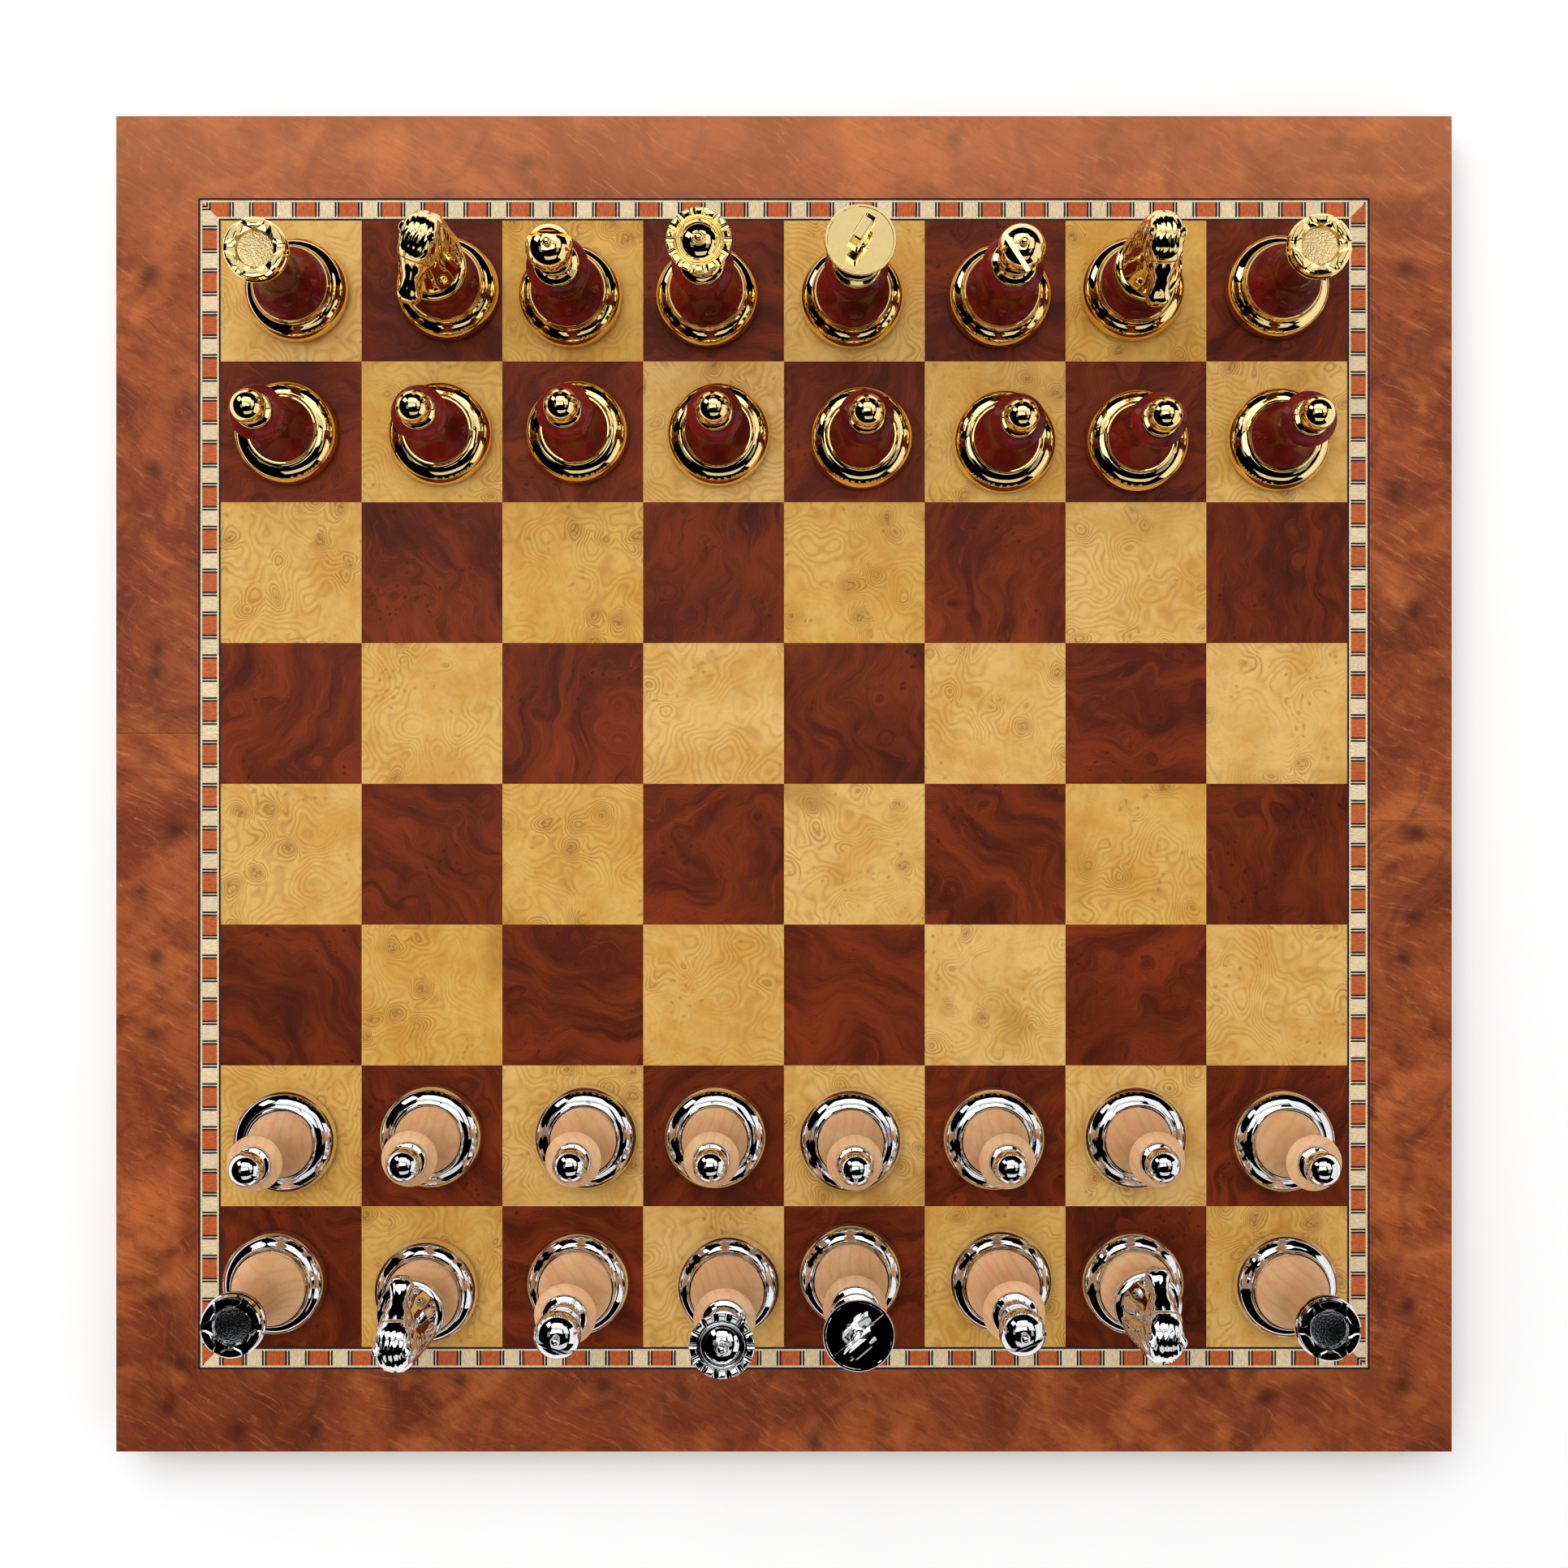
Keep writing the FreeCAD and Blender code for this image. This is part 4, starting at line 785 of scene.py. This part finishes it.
    def dent(s, u, y, r, depth):
        return -depth * np.exp(-((s_ - s) ** 2 + (u_ - u) ** 2 + (y_ - y) ** 2) / (r * r))
    push = np.zeros(cnt)
    for s in (1, -1):
        push += dent(16.7, 0.7, 2.6 * s, 0.62, 0.85)                     # nostril
        push += dent(12.6, 0.4, 2.4 * s, 1.3, 0.28)                      # hollow beside the nose
        push += dent(8.9, -3.2, 3.0 * s, 1.4, 0.30)                      # under the cheek
        ring_d = np.sqrt((s_ - 6.3) ** 2 + (u_ - 1.5) ** 2)
        push -= 0.30 * np.exp(-((ring_d - 1.15) / 0.26) ** 2) * (y_ * s > 2.2)     # eyelid groove
        push -= 0.7 * np.exp(-((co[:, 0] + 0.9) ** 2 / 1.1 + (co[:, 2] - 45.8) ** 2 / 0.45)) * (y_ * s > 3.6)   # ear hollow
    push -= 0.22 * np.exp(-(y_ / 0.32) ** 2) * (u_ > 1.2) * np.clip((s_ - 6.5) / 2, 0, 1) * np.clip((15.6 - s_) / 2, 0, 1)
    push -= 0.42 * np.exp(-((u_ + 1.15 + 0.12 * (18 - s_)) / 0.28) ** 2) * np.clip((s_ - 13.6) / 1.2, 0, 1)   # mouth
    hair = np.clip((-co[:, 0] - 1.0) / 2.5, 0, 1) * (co[:, 2] > 25.5) * (s_ < 4.5)
    comb = np.clip((5.2 - s_) / 1.5, 0, 1) * np.clip((co[:, 2] - 42.5) / 1.5, 0, 1) * np.clip((3.7 - np.abs(y_)) / 0.6, 0, 1)
    push += 0.085 * comb * np.sin(2 * math.pi * (y_ + 0.05 * s_ * s_ + 0.25 * np.sin(1.3 * s_)) / 1.3) * (0.75 + 0.25 * np.sin(2.1 * y_ + 0.9 * s_))
    push += 0.03 * hair * np.sin(3.4 * (co[:, 2] * 0.8 + np.abs(y_) * 1.7 + 0.6 * np.sin(co[:, 2] * 0.7)))
    co += no * push[:, None]
    co[:, 2] = np.minimum(co[:, 2], 48.35)
    quads = [tuple(p.vertices) for p in done.polygons]
    bpy.data.meshes.remove(done)
    return co, quads


def collar(n=96):
    """The ring under the horse with its shank, turned."""
    prof = [(0, 2.4), (1.5, 2.4), (1.5, 22.2), (7.6, 22.2)]
    prof += [(7.6 + 0.44 * math.sin(a), 23.05 - 0.85 * math.cos(a)) for a in np.linspace(0.35, math.pi - 0.35, 9)]
    prof += [(7.6, 23.9), (7.2, 24.25), (5.0, 24.3), (0, 24.3)]
    v, f = [], []
    rows = prof[1:-1]
    for r, z in rows:
        for j in range(n):
            v.append((r * math.cos(2 * math.pi * j / n), r * math.sin(2 * math.pi * j / n), z))
    for i in range(len(rows) - 1):
        for j in range(n):
            a, b = i * n + j, i * n + (j + 1) % n
            f.append((a, b, b + n, a + n))
    f.append(tuple(range(n))[::-1])
    f.append(tuple(range((len(rows) - 1) * n, len(rows) * n)))
    return np.array(v), f


FACING = {"black_knight_b": 250, "black_knight_g": 270, "white_knight_b": 90, "white_knight_g": 90}
HORSE = horse_mesh()
COLLAR = collar()
for name in KNIGHTS:
    src = NODES[name]
    idx, boxes = solids_of(src)
    kinds = [kind_of(b) for b in boxes]
    lo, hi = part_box(name)
    drop = [k for k, b in enumerate(boxes) if kinds[k] == "head"]
    base = [k for k in range(len(boxes)) if kinds[k] == "base"][0]
    me = src.data.copy()
    me.name = name + "_foot"
    bm = bmesh.new()
    bm.from_mesh(me)
    bm.faces.ensure_lookup_table()
    bmesh.ops.delete(bm, geom=[bm.faces[i] for i in np.nonzero(np.isin(idx, drop))[0]], context="FACES")
    cx = (max(v.co.x for v in bm.verts) + min(v.co.x for v in bm.verts)) / 2
    cy = (max(v.co.y for v in bm.verts) + min(v.co.y for v in bm.verts)) / 2
    bm.to_mesh(me)
    bm.free()
    foot = bpy.data.objects.new(name + "_foot", me)
    scene.collection.objects.link(foot)
    stem = name[:-len("_metal")]
    a = math.radians(FACING[stem])
    out = []
    for label, (v, f) in (("horse", HORSE), ("collar", COLLAR)):
        w = np.empty_like(v)
        w[:, 0] = cx + (v[:, 0] * math.cos(a) - v[:, 1] * math.sin(a)) * 0.001
        w[:, 1] = cy + (v[:, 0] * math.sin(a) + v[:, 1] * math.cos(a)) * 0.001
        w[:, 2] = TOP + v[:, 2] * 0.001
        m = bpy.data.meshes.new("%s_%s" % (stem, label))
        m.from_pydata([tuple(q) for q in w], [], f)
        m.materials.append(M[side_of(name)[0]])
        m.polygons.foreach_set("use_smooth", np.ones(len(m.polygons), bool))
        if label == "collar":
            m.set_sharp_from_angle(angle=math.radians(50))
        m.update()
        o = bpy.data.objects.new("%s_%s" % (stem, label), m)
        scene.collection.objects.link(o)
        out.append(o)
    for o in [foot] + out:
        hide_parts(name)
        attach(o, body_of(src)[0])

# ------------------------------------------------------------------ eased edges on the sharp castings


def eased(name, width, steep):
    """A copy of a cast piece whose hard edges are rounded as plating leaves them."""
    src = NODES[name]
    me = src.data.copy()
    me.name = name + "_eased"
    bm = bmesh.new()
    bm.from_mesh(me)
    bmesh.ops.remove_doubles(bm, verts=bm.verts, dist=0.0000015)
    bmesh.ops.dissolve_degenerate(bm, dist=0.000002, edges=bm.edges)
    bmesh.ops.dissolve_limit(bm, angle_limit=math.radians(0.5), verts=bm.verts, edges=bm.edges,
                             use_dissolve_boundaries=False, delimit={"MATERIAL"})
    zmin = TOP + 0.028
    hard = [e for e in bm.edges if len(e.link_faces) == 2 and e.calc_face_angle(0.0) > math.radians(steep)
            and e.verts[0].co.z > zmin and e.verts[1].co.z > zmin and e.calc_length() > 0.00003]
    bmesh.ops.bevel(bm, geom=hard, offset=width, offset_type="OFFSET", segments=3, profile=0.5, affect="EDGES",
                    clamp_overlap=True, material=-1)
    bmesh.ops.triangulate(bm, faces=[f for f in bm.faces if len(f.verts) > 4])
    bm.to_mesh(me)
    bm.free()
    for attr in ("custom_normal", "sharp_edge"):
        if attr in me.attributes:
            me.attributes.remove(me.attributes[attr])
    me.polygons.foreach_set("use_smooth", np.ones(len(me.polygons), bool))
    me.set_sharp_from_angle(angle=math.radians(38))
    o = bpy.data.objects.new(name + "_eased", me)
    scene.collection.objects.link(o)
    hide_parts(name)
    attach(o, body_of(src)[0])


for name in list(NODES):
    if "rook" in name and name.endswith("_metal"):
        eased(name, 0.00013, 40)
    elif "queen" in name and name.endswith("_crown"):
        eased(name, 0.00012, 40)

# ------------------------------------------------------------------ camera, floor, lights

cam_data = bpy.data.cameras.new("view_camera")
cam = bpy.data.objects.new("view_camera", cam_data)
scene.collection.objects.link(cam)
cam.location = (-0.0012, 0.0030, TOP + 0.490)
cam.rotation_euler = (0, 0, 0)
cam_data.sensor_width = 36.0
cam_data.lens = 36.0 * 0.490 / 0.3898
cam_data.shift_x = 0.0031
cam_data.shift_y = -0.0078
cam_data.clip_start = 0.01
cam_data.clip_end = 20.0
scene.camera = cam


def floor_paper():
    g = Graph("pale_floor")
    p = g.coords()
    n = g.noise(p, 30.0, 3.0, 0.5)
    c = g.mix(g.mul(n, 0.5), (0.97, 0.97, 0.97), (0.955, 0.955, 0.957))
    g.set(Base_Color=c, Roughness=0.85, Specular_IOR_Level=0.1)
    return g.mat


me = bpy.data.meshes.new("floor")
me.from_pydata([(-2.2, -2.2, 0), (2.2, -2.2, 0), (2.2, 2.2, 0), (-2.2, 2.2, 0)], [], [(0, 1, 2, 3)])
floor = bpy.data.objects.new("floor", me)
scene.collection.objects.link(floor)
floor.location = (0, 0, -0.0002)
me.materials.append(floor_paper())
floor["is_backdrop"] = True

world = bpy.data.worlds.new("studio")
scene.world = world
world.use_nodes = True
bg = world.node_tree.nodes["Background"]
bg.inputs[0].default_value = (1, 1, 1, 1)
bg.inputs[1].default_value = 0.68
world.cycles_visibility.glossy = False


def softbox(name, at, aim, wide, tall, radiance, fill=True, tint=(1, 1, 1)):
    """Rectangular light of a given radiance, facing its aim: a fill light or a card seen only in gloss."""
    d = bpy.data.lights.new(name, "AREA")
    d.shape = "RECTANGLE"
    d.size = wide
    d.size_y = tall
    d.energy = radiance * math.pi * wide * tall
    d.color = tint
    o = bpy.data.objects.new(name, d)
    scene.collection.objects.link(o)
    o.location = at
    o.rotation_euler = (Vector(aim) - Vector(at)).to_track_quat("-Z", "Y").to_euler()
    o.visible_camera = False
    o.visible_glossy = not fill
    o.visible_diffuse = fill
    return o


def flat_card(name, x0, x1, y0, y1, radiance):
    """Card lying 1 m above the board, seen only in gloss."""
    return softbox(name, ((x0 + x1) / 2, (y0 + y1) / 2, 1.0), ((x0 + x1) / 2, (y0 + y1) / 2 + 0.0001, 0.0),
                   x1 - x0, y1 - y0, radiance, False)


softbox("main_fill", (-0.25, 0.45, 1.2), (0, 0, 0.01), 1.0, 1.0, 3.1)
flat_card("cream_card", -0.50, 0.42, 0.33, 0.55, 0.8)
flat_card("back_card", -0.60, 0.60, 0.55, 1.30, 1.8)
flat_card("window_card", -0.46, -0.10, -0.04, 0.29, 2.3)
flat_card("window_card_right", -0.06, 0.30, 0.00, 0.29, 1.7)
softbox("left_card", (-0.78, 0.70, 0.62), (0, 0, 0.02), 0.34, 0.50, 2.5, False)
softbox("right_panel", (1.15, -0.22, 0.40), (0, 0, 0.1), 1.4, 0.75, 0.95, False)
flat_card("right_high_card", 0.45, 1.15, 0.05, 0.95, 1.0)
flat_card("front_card", -0.50, 0.90, -1.50, -0.75, 0.75)
flat_card("ceiling_left", -0.77, -0.47, -0.25, 0.15, 0.30)
flat_card("ceiling_right", 0.57, 0.87, -0.35, 0.05, 0.40)

scene.view_settings.view_transform = "Standard"
scene.view_settings.look = "None"

SIZE["visual"] = plain(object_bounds())
